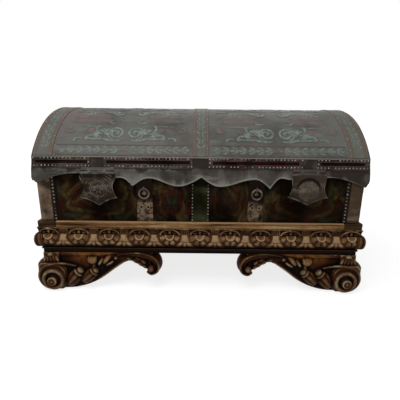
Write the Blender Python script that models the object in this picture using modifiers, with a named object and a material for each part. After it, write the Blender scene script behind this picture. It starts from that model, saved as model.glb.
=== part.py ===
"""Leather-covered barrel-lid chest on a carved stand with scroll feet.

X runs along the chest, +Y points to its back and +Z up. The origin is on the floor under its middle.
"""

import math

import bmesh
import bpy
from mathutils import Matrix, Vector

# Driving dimensions, in metres
SEAT = 0.0003  # gap that pieces which touch keep
WELD = 0.00001
BODY_LENGTH = 1.088
BODY_DEPTH = 0.576
BODY_HEIGHT = 0.197
BOARD = 0.018
BOTTOM_BOARD = 0.015
LEATHER = 0.003

LID_REVEAL = 0.003  # from the body's leather to the inside of the lid's leather
LID_GAP = 0.0005
FASCIA_HEIGHT = 0.0435
DOME_RISE = 0.162
DOME_BOARD = 0.014
DOME_STEPS = 32

SKIRT_FLARE = 0.007
SKIRT_REACH = 0.050  # drop below the lid boards at which the whole flare is reached
SKIRT_BEND = 1.3
SKIRT_STEPS = 2
SCALLOP_STEPS = 4

STRIP_GAP = 0.0008  # round the foot of the chest
STRIP_THICK = 0.012
STRIP_HEIGHT = 0.022
CORNER_BLOCK = 0.052

FOOT_HEIGHT = 0.150
RAIL_DEPTH = 0.055  # behind the face of the chest body
FILLET_OUT = 0.005
FILLET_FACE = 0.008
BEAD_RADIUS = 0.004
COVE_HEIGHT = 0.010
OVOLO_FOOT = 0.012
OVOLO_OUT = 0.022
OVOLO_HEIGHT = 0.040
LEAF_BAND_HEIGHT = 0.023
LEAF_BAND_OUT = 0.015
LEAF_BAND_HOLLOW = 0.003
MEDALLION_PITCH = 0.104
MEDALLION = Vector((0.025, 0.008, 0.017))
CORNER_TO_MEDALLION = 0.046

FOOT_REACH = 0.034  # outermost point of the volute beyond the face of the chest body
FOOT_LENGTH = 0.444
ROLL_RADIUS = 0.055
ROLL_FLAT = 0.002  # worn flat where the volute stands on the floor
ROLL_LENGTH = 0.080
ROLL_PROUD = 0.015
VOLUTE_RING = 0.041
VOLUTE_GROOVE = 0.027
VOLUTE_BUTTON = 0.017
CARVED_DEPTH = 0.007
CURL_RADIUS = 0.034
CURL_DROP = 0.055  # centre of the curled end below the rails
CURL_PROUD = 0.010
CURL_RING = 0.026
CURL_GROOVE = 0.017
CURL_BUTTON = 0.011
CURL_LENGTH = 0.062
ARM_THICK = 0.060
ARM_SOLE = 0.004  # under side of the arm where it leaves the volute
ARM_PROUD = 0.003
ARM_NECK = 0.032  # wood left over the hollow of the arm
NECK_INSET = 0.031
ARM_SWEEP = ((0.079, 0.009), (0.124, 0.023), (0.169, 0.046), (0.214, 0.078))  # run from the volute, height
HOLLOW_CROWN = 0.072  # top of the hollow, before the curled end
HOLLOW_HALF = 0.021
HOLLOW_SAG = 0.006
BAND_RADIUS = 0.015
CARVING_SINK = 0.002  # centres of the carved forms behind the face of the arm
LEAF_LOBE = Vector((0.020, 0.014, 0.034))
LEAF_LOBES = 3
FIRST_LOBE = Vector((0.072, 0, 0.004))  # from the middle of the volute
LOBE_STEP = Vector((0.050, 0, 0.024))

STRAP_THICK = 0.002
CORNER_STRAP_WIDTH = 0.056
CENTRE_BAND_WIDTH = 0.058
STRAP_TOP_INSET = 0.008
IRON_STRAP_X = 0.188
IRON_STRAP_WIDTH = 0.054
IRON_STRAP_THICK = 0.003
RING_HEIGHT = 0.1375  # pivot above the foot of the chest
RING_RADIUS = 0.0165
RING_WIRE = 0.0035
RING_PLAY = 0.0006
RING_BACK = 0.0032
STAPLE_WIRE = 0.002
BOSS_RADIUS = 0.0075
BOSS_HEIGHT = 0.0015

HASP_LEFT_INSET = 0.206  # from the end of the chest body
HASP_RIGHT_INSET = 0.188
HASP_THICK = 0.003
HASP_TOP = 0.104  # widths of the shield
HASP_WAIST = 0.096
HASP_EARS = 0.124
HASP_FOOT = 0.116
HASP_TIP = 0.052
HASP_WAIST_DROP = 0.040  # heights under the lid boards
HASP_EARS_DROP = 0.076
HASP_FOOT_DROP = 0.094
HASP_TIP_DROP = 0.098
HASP_POINT_DROP = 0.115
HASP_BOSS_DROP = 0.062
HASP_KNUCKLE = 0.004
HASP_KNUCKLE_WIDTH = 0.040
HASP_PIN = 0.002
HASP_AXIS_DROP = 0.004
HASP_AXIS_OUT = 0.0065
HASP_LUG = 0.009
HASP_PLATE = 0.0027
HASP_BOSS = 0.036
HASP_BOSS_HEIGHT = 0.0015
PIN_PLAY = 0.0003

LOCK_WIDTH = 0.056
LOCK_HEIGHT = 0.066
LOCK_PLATE = 0.002
LOCK_CASE_INSET = 0.007
LOCK_CASE_DEPTH = 0.012
LOCK_TOP = 0.036  # below the rim

FASCIA_STRIP_THICK = 0.002
FASCIA_STRIP_INSET = 0.008
FASCIA_STRIP_TOP = 0.0008
FASCIA_CHANNEL_INSET = 0.007
FASCIA_CHANNEL_DEPTH = 0.0012
FASCIA_CENTRE_GAP = 0.026
FASCIA_HASP_GAP = 0.023
FASCIA_END_INSET = 0.004

HINGE_X = 0.340
HINGE_WIDTH = 0.060
HINGE_PLATE = 0.003
HINGE_LEAF = 0.036
HINGE_KNUCKLE = 0.005
HINGE_PIN = 0.0025
HINGE_OUT = 0.007  # axis behind the back of the lid

HANDLE_PLATE_LENGTH = 0.150
HANDLE_PLATE_HEIGHT = 0.042
HANDLE_PLATE_THICK = 0.003
HANDLE_HEIGHT = 0.110  # pivot above the foot of the chest
HANDLE_SPAN = 0.046
HANDLE_DROP = 0.046
HANDLE_WIRE = 0.004
HANDLE_OUT = 0.012
HANDLE_BEND = 0.014
EAR_THICK = 0.010
EAR_RADIUS = 0.009

# Sizes that follow from the driving dimensions
BODY_X = BODY_LENGTH / 2
BODY_Y = BODY_DEPTH / 2
HASP_LEFT_X = HASP_LEFT_INSET - BODY_X
HASP_RIGHT_X = BODY_X - HASP_RIGHT_INSET
FILLET_HEIGHT = FILLET_FACE + 2 * BEAD_RADIUS + COVE_HEIGHT
OVOLO_BOTTOM = FOOT_HEIGHT + FILLET_HEIGHT
LEAF_BAND_BOTTOM = OVOLO_BOTTOM + OVOLO_HEIGHT
FRAME_TOP = LEAF_BAND_BOTTOM + LEAF_BAND_HEIGHT
BODY_BOTTOM = FRAME_TOP + SEAT
RIM = BODY_BOTTOM + BODY_HEIGHT
STRIP_TOP = FRAME_TOP + SEAT + STRIP_HEIGHT
LID_BOTTOM = RIM + LID_GAP
LID_EDGE = LID_BOTTOM + FASCIA_HEIGHT
CREST = LID_EDGE + DOME_RISE
LID_X = BODY_X + LID_REVEAL + LEATHER
LID_Y = BODY_Y + LID_REVEAL + LEATHER
BOARDS_X = BODY_X - LEATHER - SEAT
BOARDS_Y = BODY_Y - LEATHER - SEAT
LID_BOARDS_X = LID_X - LEATHER - SEAT
LID_BOARDS_Y = LID_Y - LEATHER - SEAT
DOME_RADIUS = (LID_Y**2 + DOME_RISE**2) / (2 * DOME_RISE)
DOME_CENTRE = CREST - DOME_RADIUS
DOME_BOARD_OUTER = DOME_RADIUS - LEATHER - SEAT
DOME_BOARD_INNER = DOME_BOARD_OUTER - DOME_BOARD
SIDES = (("left", -1), ("right", 1))
CORNERS = tuple((end + "_" + side, sx, sy) for end, sy in (("front", -1), ("back", 1)) for side, sx in SIDES)

# Low points and arches of the leather skirts: place from the middle, drop, and whether it is a sharp point
FRONT_SCALLOPS = (
    (0.000, 0.019, True),
    (0.066, 0.049, False),
    (0.178, 0.024, False),
    (0.230, 0.052, True),
    (0.272, 0.021, False),
    (0.347, 0.018, False),
    (0.430, 0.017, False),
    (LID_BOARDS_X, 0.045, False),
)
END_SCALLOPS = (
    (0.000, 0.046, False),
    (0.100, 0.022, False),
    (0.160, 0.050, True),
    (0.222, 0.020, False),
    (LID_Y, 0.045, False),
)

for old in list(bpy.data.objects):
    bpy.data.objects.remove(old, do_unlink=True)

chest_parts = bpy.data.collections.new("leather_chest_on_stand")
guides = bpy.data.collections.new("guides")
bpy.context.scene.collection.children.link(chest_parts)
bpy.context.scene.collection.children.link(guides)


# Materials

def finish(name, colour, roughness, metallic=0.0):
    material = bpy.data.materials.new(name)
    material.use_nodes = True
    shader = material.node_tree.nodes["Principled BSDF"]
    shader.inputs["Base Color"].default_value = (*colour, 1.0)
    shader.inputs["Roughness"].default_value = roughness
    shader.inputs["Metallic"].default_value = metallic
    return material


GILT_WOOD = finish("gilt_wood", (0.27, 0.14, 0.05), 0.45)
DARK_WOOD = finish("dark_wood", (0.05, 0.03, 0.02), 0.6)
BOARD_WOOD = finish("board_wood", (0.20, 0.12, 0.07), 0.7)
LID_LEATHER = finish("lid_leather", (0.10, 0.10, 0.085), 0.5)
BODY_LEATHER = finish("body_leather", (0.035, 0.030, 0.022), 0.5)
WORN_LEATHER = finish("worn_leather", (0.20, 0.16, 0.12), 0.6)
GREEN_LEATHER = finish("green_leather", (0.04, 0.055, 0.04), 0.5)
RED_LEATHER = finish("red_leather", (0.05, 0.012, 0.014), 0.5)
IRON = finish("iron", (0.23, 0.20, 0.17), 0.5, 0.8)


# Modelling helpers

def put(name, mesh, material):
    mesh.materials.clear()
    mesh.materials.append(material)
    part = bpy.data.objects.new(name, mesh)
    chest_parts.objects.link(part)
    return part


def mesh_from(bm, name):
    bmesh.ops.recalc_face_normals(bm, faces=bm.faces)
    mesh = bpy.data.meshes.new(name)
    bm.to_mesh(mesh)
    bm.free()
    return mesh


def settled(source):
    """The evaluated mesh of an object, in world space, with its caps welded. The object is removed."""
    bpy.context.view_layer.update()
    graph = bpy.context.evaluated_depsgraph_get()
    mesh = bpy.data.meshes.new_from_object(source.evaluated_get(graph))
    mesh.transform(source.matrix_world)
    bpy.data.objects.remove(source, do_unlink=True)
    bm = bmesh.new()
    bm.from_mesh(mesh)
    bmesh.ops.remove_doubles(bm, verts=bm.verts, dist=WELD)
    return mesh_from(bm, mesh.name)


def guide(name, data):
    helper = bpy.data.objects.new(name, data)
    helper.hide_render = True
    helper.display_type = "WIRE"
    guides.objects.link(helper)
    return helper


def combined(mesh, others, operation):
    """One mesh joined with or cut by others."""
    target = guide(mesh.name, mesh)
    tools = [guide("tool", other) for other in others]
    for tool in tools:
        step = target.modifiers.new(operation, "BOOLEAN")
        step.operation = operation
        step.solver = "EXACT"
        step.object = tool
    result = settled(target)
    for tool in tools:
        bpy.data.objects.remove(tool, do_unlink=True)
    return result


def block(low, high, rounding=0.0):
    low = Vector(low)
    high = Vector(high)
    bm = bmesh.new()
    bmesh.ops.create_cube(bm, size=1.0)
    bmesh.ops.scale(bm, vec=high - low, verts=bm.verts)
    bmesh.ops.translate(bm, vec=(low + high) / 2, verts=bm.verts)
    if rounding:
        bmesh.ops.bevel(bm, geom=bm.edges[:], offset=rounding, segments=2, profile=0.5, affect="EDGES")
    return mesh_from(bm, "block")


PLANES = {
    "XY": Matrix.Identity(4),
    "XZ": Matrix.Rotation(math.pi / 2, 4, "X"),
    "YZ": Matrix(((0, 0, 1, 0), (1, 0, 0, 0), (0, 1, 0, 0), (0, 0, 0, 1))),
}
NORMALS = {"XY": Vector((0, 0, 1)), "XZ": Vector((0, 1, 0)), "YZ": Vector((1, 0, 0))}


def outline_solid(loops, plane, low, high, smooth=False):
    """A flat outline of one or more closed loops, thick from low to high across its plane.

    A third value in a point of a smooth outline marks a corner.
    """
    curve = bpy.data.curves.new("outline", "CURVE")
    curve.dimensions = "2D"
    curve.fill_mode = "BOTH"
    curve.resolution_u = 4
    curve.extrude = (high - low) / 2
    for loop in loops:
        spline = curve.splines.new("BEZIER" if smooth else "POLY")
        spline.use_cyclic_u = True
        points = spline.bezier_points if smooth else spline.points
        points.add(len(loop) - 1)
        for point, place in zip(points, loop):
            if smooth:
                kind = "VECTOR" if len(place) > 2 else "AUTO"
                point.co = (place[0], place[1], 0)
                point.handle_left_type = kind
                point.handle_right_type = kind
            else:
                point.co = (place[0], place[1], 0, 1)
    shape = guide("outline", curve)
    shape.matrix_world = Matrix.Translation(NORMALS[plane] * (low + high) / 2) @ PLANES[plane]
    return settled(shape)


def tube(path, radius, closed=False, smooth=False, sides=2):
    curve = bpy.data.curves.new("tube", "CURVE")
    curve.dimensions = "3D"
    curve.bevel_depth = radius
    curve.bevel_resolution = sides
    curve.use_fill_caps = not closed
    curve.resolution_u = 3
    spline = curve.splines.new("BEZIER" if smooth else "POLY")
    spline.use_cyclic_u = closed
    points = spline.bezier_points if smooth else spline.points
    points.add(len(path) - 1)
    for point, place in zip(points, path):
        if smooth:
            point.co = place
            point.handle_left_type = "AUTO"
            point.handle_right_type = "AUTO"
        else:
            point.co = (*place, 1)
    return settled(guide("tube", curve))


def rod(start, end, radius, segments=16):
    start = Vector(start)
    end = Vector(end)
    bm = bmesh.new()
    bmesh.ops.create_cone(
        bm, cap_ends=True, segments=segments, radius1=radius, radius2=radius, depth=(end - start).length
    )
    turn = (end - start).to_track_quat("Z", "Y").to_matrix()
    bmesh.ops.rotate(bm, cent=(0, 0, 0), matrix=turn, verts=bm.verts)
    bmesh.ops.translate(bm, vec=(start + end) / 2, verts=bm.verts)
    return mesh_from(bm, "rod")


def ellipsoid(centre, half_sizes, around=8, up=6):
    bm = bmesh.new()
    bmesh.ops.create_uvsphere(bm, u_segments=around, v_segments=up, radius=1.0)
    bmesh.ops.scale(bm, vec=half_sizes, verts=bm.verts)
    bmesh.ops.translate(bm, vec=centre, verts=bm.verts)
    return mesh_from(bm, "ellipsoid")


def turned(profile, centre, steps):
    """A profile of (radius, height) points turned about an axis that faces the front."""
    bm = bmesh.new()
    points = [bm.verts.new((radius, 0, height)) for radius, height in profile]
    for above, below in zip(points, points[1:]):
        bm.edges.new((above, below))
    mesh = bpy.data.meshes.new("turned")
    bm.to_mesh(mesh)
    bm.free()
    shape = guide("turned", mesh)
    shape.matrix_world = Matrix.Translation(centre) @ PLANES["XZ"]
    screw = shape.modifiers.new("turn", "SCREW")
    screw.steps = steps
    screw.render_steps = steps
    screw.use_merge_vertices = True
    screw.merge_threshold = WELD
    return settled(shape)


def mirrored(mesh, sx, sy):
    copy = mesh.copy()
    copy.transform(Matrix.Diagonal((sx, sy, 1, 1)))
    if sx * sy < 0:
        copy.flip_normals()
    return copy


def gathered(meshes):
    """Several separate shapes in one mesh, to be joined to another in one step."""
    bm = bmesh.new()
    for mesh in meshes:
        bm.from_mesh(mesh)
    return mesh_from(bm, "gathered")


def shaped_sheet(columns, rows, place, thickness):
    """A leather sheet: a grid laid by place(column, row), with its thickness on the inner side."""
    bm = bmesh.new()
    bmesh.ops.create_grid(bm, x_segments=columns, y_segments=rows, size=1.0)
    for vertex in bm.verts:
        column = round((vertex.co.x + 1) / 2 * columns)
        row = round((vertex.co.y + 1) / 2 * rows)
        vertex.co = place(column, row)
    mesh = bpy.data.meshes.new("sheet")
    bm.to_mesh(mesh)
    bm.free()
    sheet = guide("sheet", mesh)
    wall = sheet.modifiers.new("thickness", "SOLIDIFY")
    wall.thickness = thickness
    wall.offset = -1.0
    wall.use_even_offset = True
    return settled(sheet)


def arc(centre, half_out, half_up, start, end, steps):
    """Points of an elliptical arc, with angles in degrees from outwards, turning up."""
    for step in range(steps + 1):
        angle = math.radians(start + (end - start) * step / steps)
        yield (centre[0] + half_out * math.cos(angle), centre[1] + half_up * math.sin(angle))


# Stand

def rail_profile():
    """Outline of a rail: distance out from the face of the chest body, and height."""
    bead = FOOT_HEIGHT + FILLET_FACE + BEAD_RADIUS
    cove = bead + BEAD_RADIUS
    belly = OVOLO_BOTTOM + OVOLO_HEIGHT / 2
    hollow = LEAF_BAND_BOTTOM + LEAF_BAND_HEIGHT / 3
    points = [(-RAIL_DEPTH, FOOT_HEIGHT), (FILLET_OUT, FOOT_HEIGHT), (FILLET_OUT, FOOT_HEIGHT + FILLET_FACE)]
    points += arc((FILLET_OUT, bead), BEAD_RADIUS, BEAD_RADIUS, -60, 60, 4)
    points += [(FILLET_OUT, cove), (FILLET_OUT + LEAF_BAND_HOLLOW, cove + COVE_HEIGHT / 2)]
    points += arc((OVOLO_FOOT, belly), OVOLO_OUT - OVOLO_FOOT, OVOLO_HEIGHT / 2, -90, 90, 8)
    points += [(OVOLO_FOOT, hollow), (LEAF_BAND_OUT, FRAME_TOP), (-RAIL_DEPTH, FRAME_TOP)]
    return points


def rail(along_x):
    """The front rail, or the left one, with mitred ends."""
    across = BODY_Y if along_x else BODY_X
    along = BODY_X if along_x else BODY_Y
    loop = [(-(across + out), height) for out, height in rail_profile()]
    mesh = outline_solid([loop], "YZ" if along_x else "XZ", -along, along)
    for vertex in mesh.vertices:
        out = -vertex.co[1 if along_x else 0] - across
        axis = 0 if along_x else 1
        vertex.co[axis] = math.copysign(along + out - SEAT, vertex.co[axis])
    return mesh


def carving(along_x):
    """Medallions along a rail."""
    across = BODY_Y if along_x else BODY_X
    along = BODY_X if along_x else BODY_Y
    run = 2 * (along + OVOLO_OUT - CORNER_TO_MEDALLION)
    count = round(run / MEDALLION_PITCH)
    out = -(across + OVOLO_OUT - MEDALLION.y / 2)
    height = OVOLO_BOTTOM + OVOLO_HEIGHT / 2
    shapes = []
    for step in range(count + 1):
        place = run * (step / count - 1 / 2)
        if along_x:
            shapes.append(ellipsoid((place, out, height), MEDALLION))
        else:
            shapes.append(ellipsoid((out, place, height), (MEDALLION.y, MEDALLION.x, MEDALLION.z)))
    return gathered(shapes)


def make_rails():
    front = rail(True)
    put("rail_back", mirrored(front, 1, -1), GILT_WOOD)
    put("rail_front", combined(front, [carving(True)], "UNION"), GILT_WOOD)
    left = combined(rail(False), [carving(False)], "UNION")
    put("rail_right", mirrored(left, -1, 1), GILT_WOOD)
    put("rail_left", left, GILT_WOOD)


def corner_outline(inner_x, inner_y, thickness, width):
    """An L that wraps the corner at (inner_x, inner_y) from outside, reaching width back along each face."""
    outer_x = inner_x + thickness
    outer_y = inner_y + thickness
    return (
        (inner_x - width, inner_y),
        (inner_x, inner_y),
        (inner_x, inner_y - width),
        (outer_x, inner_y - width),
        (outer_x, outer_y),
        (inner_x - width, outer_y),
    )


def make_locating_strips():
    low = FRAME_TOP + SEAT
    inner_x = BODY_X + STRIP_GAP
    inner_y = BODY_Y + STRIP_GAP
    long_end = inner_x - CORNER_BLOCK - SEAT
    short_end = inner_y - CORNER_BLOCK - SEAT
    front = block((-long_end, -inner_y - STRIP_THICK, low), (long_end, -inner_y, STRIP_TOP))
    left = block((-inner_x - STRIP_THICK, -short_end, low), (-inner_x, short_end, STRIP_TOP))
    put("strip_back", mirrored(front, 1, -1), GILT_WOOD)
    put("strip_front", front, GILT_WOOD)
    put("strip_right", mirrored(left, -1, 1), GILT_WOOD)
    put("strip_left", left, GILT_WOOD)
    corner = outline_solid(
        [corner_outline(inner_x, inner_y, STRIP_THICK, CORNER_BLOCK)], "XY", low, STRIP_TOP
    )
    for name, sx, sy in CORNERS:
        put("corner_block_" + name, mirrored(corner, sx, sy), DARK_WOOD)


def volute(centre_x, centre_z, radius, ring, groove, button, front, length, steps):
    """A roll whose front is carved with a ring, a groove and a round button."""
    edge = radius - ring
    profile = list(arc((0, -CARVED_DEPTH), button, CARVED_DEPTH, 90, 0, 2))
    profile += [(groove, -CARVED_DEPTH), ((groove + ring) / 2, 0)]
    profile += arc((ring, -edge), edge, edge, 90, 0, 2)
    profile += [(radius, -length), (0, -length)]
    return turned(profile, (centre_x, front, centre_z), steps)


def foot_outline(roll_x, curl_x, curl_z):
    """Lower edge of the arm, from the volute along the floor and over the hollow to the curled end."""
    hollow = FOOT_HEIGHT - ARM_NECK
    crown_x = curl_x - HOLLOW_CROWN
    return [(roll_x + run, height) for run, height in ARM_SWEEP] + [
        (crown_x - HOLLOW_HALF, hollow - HOLLOW_SAG),
        (crown_x, hollow),
        (crown_x + HOLLOW_HALF, hollow - HOLLOW_SAG),
        (curl_x - CURL_RADIUS + CARVED_DEPTH, curl_z),
    ]


def foot():
    """The front left foot."""
    outer = -(BODY_X + FOOT_REACH)
    roll_x = outer + ROLL_RADIUS
    roll_z = ROLL_RADIUS - ROLL_FLAT
    curl_x = outer + FOOT_LENGTH - CURL_RADIUS
    curl_z = FOOT_HEIGHT - CURL_DROP
    arm_front = -(BODY_Y + ARM_PROUD)
    lower_edge = foot_outline(roll_x, curl_x, curl_z)
    top = FOOT_HEIGHT - SEAT
    neck_x = outer + NECK_INSET
    neck = [(neck_x, top, "corner"), (neck_x, roll_z, "corner"), (roll_x, ARM_SOLE, "corner")]
    tip = [(curl_x, curl_z, "corner"), (curl_x + CURL_RADIUS / 2, top, "corner")]
    arm = outline_solid(
        [neck + lower_edge + tip], "XZ", arm_front, arm_front + ARM_THICK, smooth=True
    )
    carved_y = arm_front + CARVING_SINK
    band_path = [(x, carved_y, z + BAND_RADIUS) for x, z in lower_edge[:-1]]
    band_start = (roll_x + ROLL_RADIUS / 2, carved_y, roll_z - ROLL_RADIUS / 2)
    band_end = (curl_x - CURL_RADIUS / 3, carved_y, curl_z + CURL_RADIUS / 3)
    band = tube([band_start] + band_path + [band_end], BAND_RADIUS, smooth=True, sides=1)
    roll_front = -(BODY_Y + ROLL_PROUD)
    curl_front = -(BODY_Y + CURL_PROUD)
    roll = volute(
        roll_x, roll_z, ROLL_RADIUS, VOLUTE_RING, VOLUTE_GROOVE, VOLUTE_BUTTON, roll_front, ROLL_LENGTH, 20
    )
    curl = volute(
        curl_x, curl_z, CURL_RADIUS, CURL_RING, CURL_GROOVE, CURL_BUTTON, curl_front, CURL_LENGTH, 16
    )
    first_lobe = Vector((roll_x, carved_y, roll_z)) + FIRST_LOBE
    lobes = [ellipsoid(first_lobe + LOBE_STEP * count, LEAF_LOBE) for count in range(LEAF_LOBES)]
    whole = arm
    for shape in [roll, curl, band] + lobes:
        whole = combined(whole, [shape], "UNION")
    bm = bmesh.new()
    bm.from_mesh(whole)
    cut = bmesh.ops.bisect_plane(
        bm,
        geom=bm.verts[:] + bm.edges[:] + bm.faces[:],
        plane_co=(0, 0, 0),
        plane_no=(0, 0, -1),
        clear_outer=True,
    )
    rim = [item for item in cut["geom_cut"] if isinstance(item, bmesh.types.BMEdge)]
    bmesh.ops.edgeloop_fill(bm, edges=rim)
    return mesh_from(bm, "foot")


def make_feet():
    front_left = foot()
    for name, sx, sy in CORNERS:
        put("foot_" + name, mirrored(front_left, -sx, -sy), GILT_WOOD)


# Chest body

def lock_box(centre_x, margin):
    """The case of a lock with room round it, from just outside the leather into the front board."""
    top = RIM - LOCK_TOP - LOCK_CASE_INSET + margin
    half = LOCK_WIDTH / 2 - LOCK_CASE_INSET + margin
    bottom = RIM - LOCK_TOP - LOCK_HEIGHT + LOCK_CASE_INSET - margin
    front = -(BODY_Y + SEAT + LOCK_PLATE / 2)
    return block((centre_x - half, front, bottom), (centre_x + half, -BODY_Y + LOCK_CASE_DEPTH + margin, top))


def make_boards():
    pockets = gathered([lock_box(x, SEAT) for x in (HASP_LEFT_X, HASP_RIGHT_X)])
    inner_y = BOARDS_Y - BOARD
    inner_x = BOARDS_X - BOARD
    front = block((-BOARDS_X, -BOARDS_Y, BODY_BOTTOM), (BOARDS_X, -inner_y, RIM))
    put("back_board", mirrored(front, 1, -1), BOARD_WOOD)
    put("front_board", combined(front, [pockets], "DIFFERENCE"), BOARD_WOOD)
    left = block((-BOARDS_X, -inner_y + SEAT, BODY_BOTTOM), (-inner_x, inner_y - SEAT, RIM))
    put("right_board", mirrored(left, -1, 1), BOARD_WOOD)
    put("left_board", left, BOARD_WOOD)
    bottom_x = inner_x - SEAT
    bottom_y = inner_y - SEAT
    bottom = block((-bottom_x, -bottom_y, BODY_BOTTOM), (bottom_x, bottom_y, BODY_BOTTOM + BOTTOM_BOARD))
    put("bottom_board", bottom, BOARD_WOOD)
    outer = ((-BODY_X, -BODY_Y), (BODY_X, -BODY_Y), (BODY_X, BODY_Y), (-BODY_X, BODY_Y))
    inside_x = BODY_X - LEATHER
    inside_y = BODY_Y - LEATHER
    inner = ((-inside_x, -inside_y), (inside_x, -inside_y), (inside_x, inside_y), (-inside_x, inside_y))
    cover = outline_solid([outer, inner], "XY", BODY_BOTTOM, RIM)
    put("body_leather", combined(cover, [pockets], "DIFFERENCE"), BODY_LEATHER)


def make_straps():
    low = STRIP_TOP + SEAT
    high = RIM - STRAP_TOP_INSET
    corner = outline_solid(
        [corner_outline(BODY_X + SEAT, BODY_Y + SEAT, STRAP_THICK, CORNER_STRAP_WIDTH)], "XY", low, high
    )
    for name, sx, sy in CORNERS:
        put("corner_strap_" + name, mirrored(corner, sx, sy), WORN_LEATHER)
    face = -(BODY_Y + SEAT)
    band = block((-CENTRE_BAND_WIDTH / 2, face - STRAP_THICK, low), (CENTRE_BAND_WIDTH / 2, face, high))
    put("centre_band", band, GREEN_LEATHER)
    for side, sx in SIDES:
        put("iron_strap_" + side, iron_strap(sx * IRON_STRAP_X, low, high), IRON)


def iron_strap(centre_x, low, high):
    """A flat strap with a low boss that the ring rests round."""
    face = -(BODY_Y + SEAT)
    outer = face - IRON_STRAP_THICK
    half = IRON_STRAP_WIDTH / 2
    boss_z = BODY_BOTTOM + RING_HEIGHT - RING_RADIUS
    plate = block((centre_x - half, outer, low), (centre_x + half, face, high))
    boss = rod((centre_x, face - IRON_STRAP_THICK / 2, boss_z), (centre_x, outer - BOSS_HEIGHT, boss_z), BOSS_RADIUS)
    return combined(plate, [boss], "UNION")


RING_PIVOT = Vector((0, -(BODY_Y + SEAT + IRON_STRAP_THICK + RING_BACK + RING_WIRE), BODY_BOTTOM + RING_HEIGHT))


def make_rings():
    eye = RING_WIRE + RING_PLAY + STAPLE_WIRE
    strap_face = -(BODY_Y + IRON_STRAP_THICK + 2 * SEAT)
    for side, sx in SIDES:
        x = sx * IRON_STRAP_X
        bend = [
            (x, RING_PIVOT.y - eye * math.sin(turn), RING_PIVOT.z + eye * math.cos(turn))
            for turn in [math.pi * step / 8 for step in range(9)]
        ]
        legs = [(x, strap_face, RING_PIVOT.z + eye)] + bend + [(x, strap_face, RING_PIVOT.z - eye)]
        put("ring_staple_" + side, tube(legs, STAPLE_WIRE), IRON)
        hoop = [
            (x + RING_RADIUS * math.sin(turn), RING_PIVOT.y, RING_PIVOT.z - RING_RADIUS * (1 - math.cos(turn)))
            for turn in [math.tau * step / 24 for step in range(24)]
        ]
        put("ring_" + side, tube(hoop, RING_WIRE, closed=True), IRON)


def make_locks():
    for side, x in (("left", HASP_LEFT_X), ("right", HASP_RIGHT_X)):
        top = RIM - LOCK_TOP
        face = -(BODY_Y + SEAT)
        plate = block(
            (x - LOCK_WIDTH / 2, face - LOCK_PLATE, top - LOCK_HEIGHT), (x + LOCK_WIDTH / 2, face, top)
        )
        put("lock_" + side, combined(plate, [lock_box(x, 0.0)], "UNION"), IRON)


HANDLE_PIVOT = Vector((BODY_X + SEAT + HANDLE_PLATE_THICK + HANDLE_OUT, 0, BODY_BOTTOM + HANDLE_HEIGHT))


def make_handles():
    """An iron bail on each end, hung between two ears of its plate."""
    ear_in = HANDLE_SPAN + HANDLE_WIRE + PIN_PLAY
    ear_out = ear_in + EAR_THICK
    face = BODY_X + SEAT
    half_height = HANDLE_PLATE_HEIGHT / 2
    plate = block(
        (face, -HANDLE_PLATE_LENGTH / 2, HANDLE_PIVOT.z - half_height),
        (face + HANDLE_PLATE_THICK, HANDLE_PLATE_LENGTH / 2, HANDLE_PIVOT.z + half_height),
    )
    ears = []
    bores = []
    for sy in (-1, 1):
        low_y, high_y = sorted((sy * ear_in, sy * ear_out))
        root = face + HANDLE_PLATE_THICK / 2
        nose = list(arc((HANDLE_PIVOT.x, HANDLE_PIVOT.z), EAR_RADIUS, EAR_RADIUS, -90, 90, 8))
        loop = [(root, HANDLE_PIVOT.z - EAR_RADIUS)] + nose + [(root, HANDLE_PIVOT.z + EAR_RADIUS)]
        ears.append(outline_solid([loop], "XZ", low_y, high_y))
        bores.append(
            rod(
                (HANDLE_PIVOT.x, sy * (ear_in - EAR_THICK / 2), HANDLE_PIVOT.z),
                (HANDLE_PIVOT.x, sy * (ear_out + EAR_THICK / 2), HANDLE_PIVOT.z),
                HANDLE_WIRE + PIN_PLAY,
            )
        )
    mounting = combined(combined(plate, ears, "UNION"), bores, "DIFFERENCE")
    bail = tube(bail_path(ear_out), HANDLE_WIRE)
    for side, sx in SIDES:
        put("handle_plate_" + side, mirrored(mounting, sx, 1), IRON)
        put("handle_" + side, mirrored(bail, sx, 1), IRON)


def bail_path(ear_out):
    """Centre line of a bail: a pin through each ear, two arms and a grip with round corners."""
    x, _, top = HANDLE_PIVOT
    low = top - HANDLE_DROP
    half = []
    for step in range(5):
        turn = math.pi / 2 * step / 4
        half.append(
            (HANDLE_SPAN - HANDLE_BEND * (1 - math.cos(turn)), low + HANDLE_BEND * (1 - math.sin(turn)))
        )
    right = [(ear_out, top), (HANDLE_SPAN, top)] + half
    left = [(-y, z) for y, z in reversed(right)]
    return [(x, y, z) for y, z in right + left]


# Lid

def dome_arc(radius, foot_z):
    """Points (y, z) of the dome at one radius, from the front over the top to the back, down to foot_z."""
    reach = math.acos((foot_z - DOME_CENTRE) / radius)
    for step in range(DOME_STEPS + 1):
        angle = reach * (2 * step / DOME_STEPS - 1)
        yield (radius * math.sin(angle), DOME_CENTRE + radius * math.cos(angle))


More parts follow.
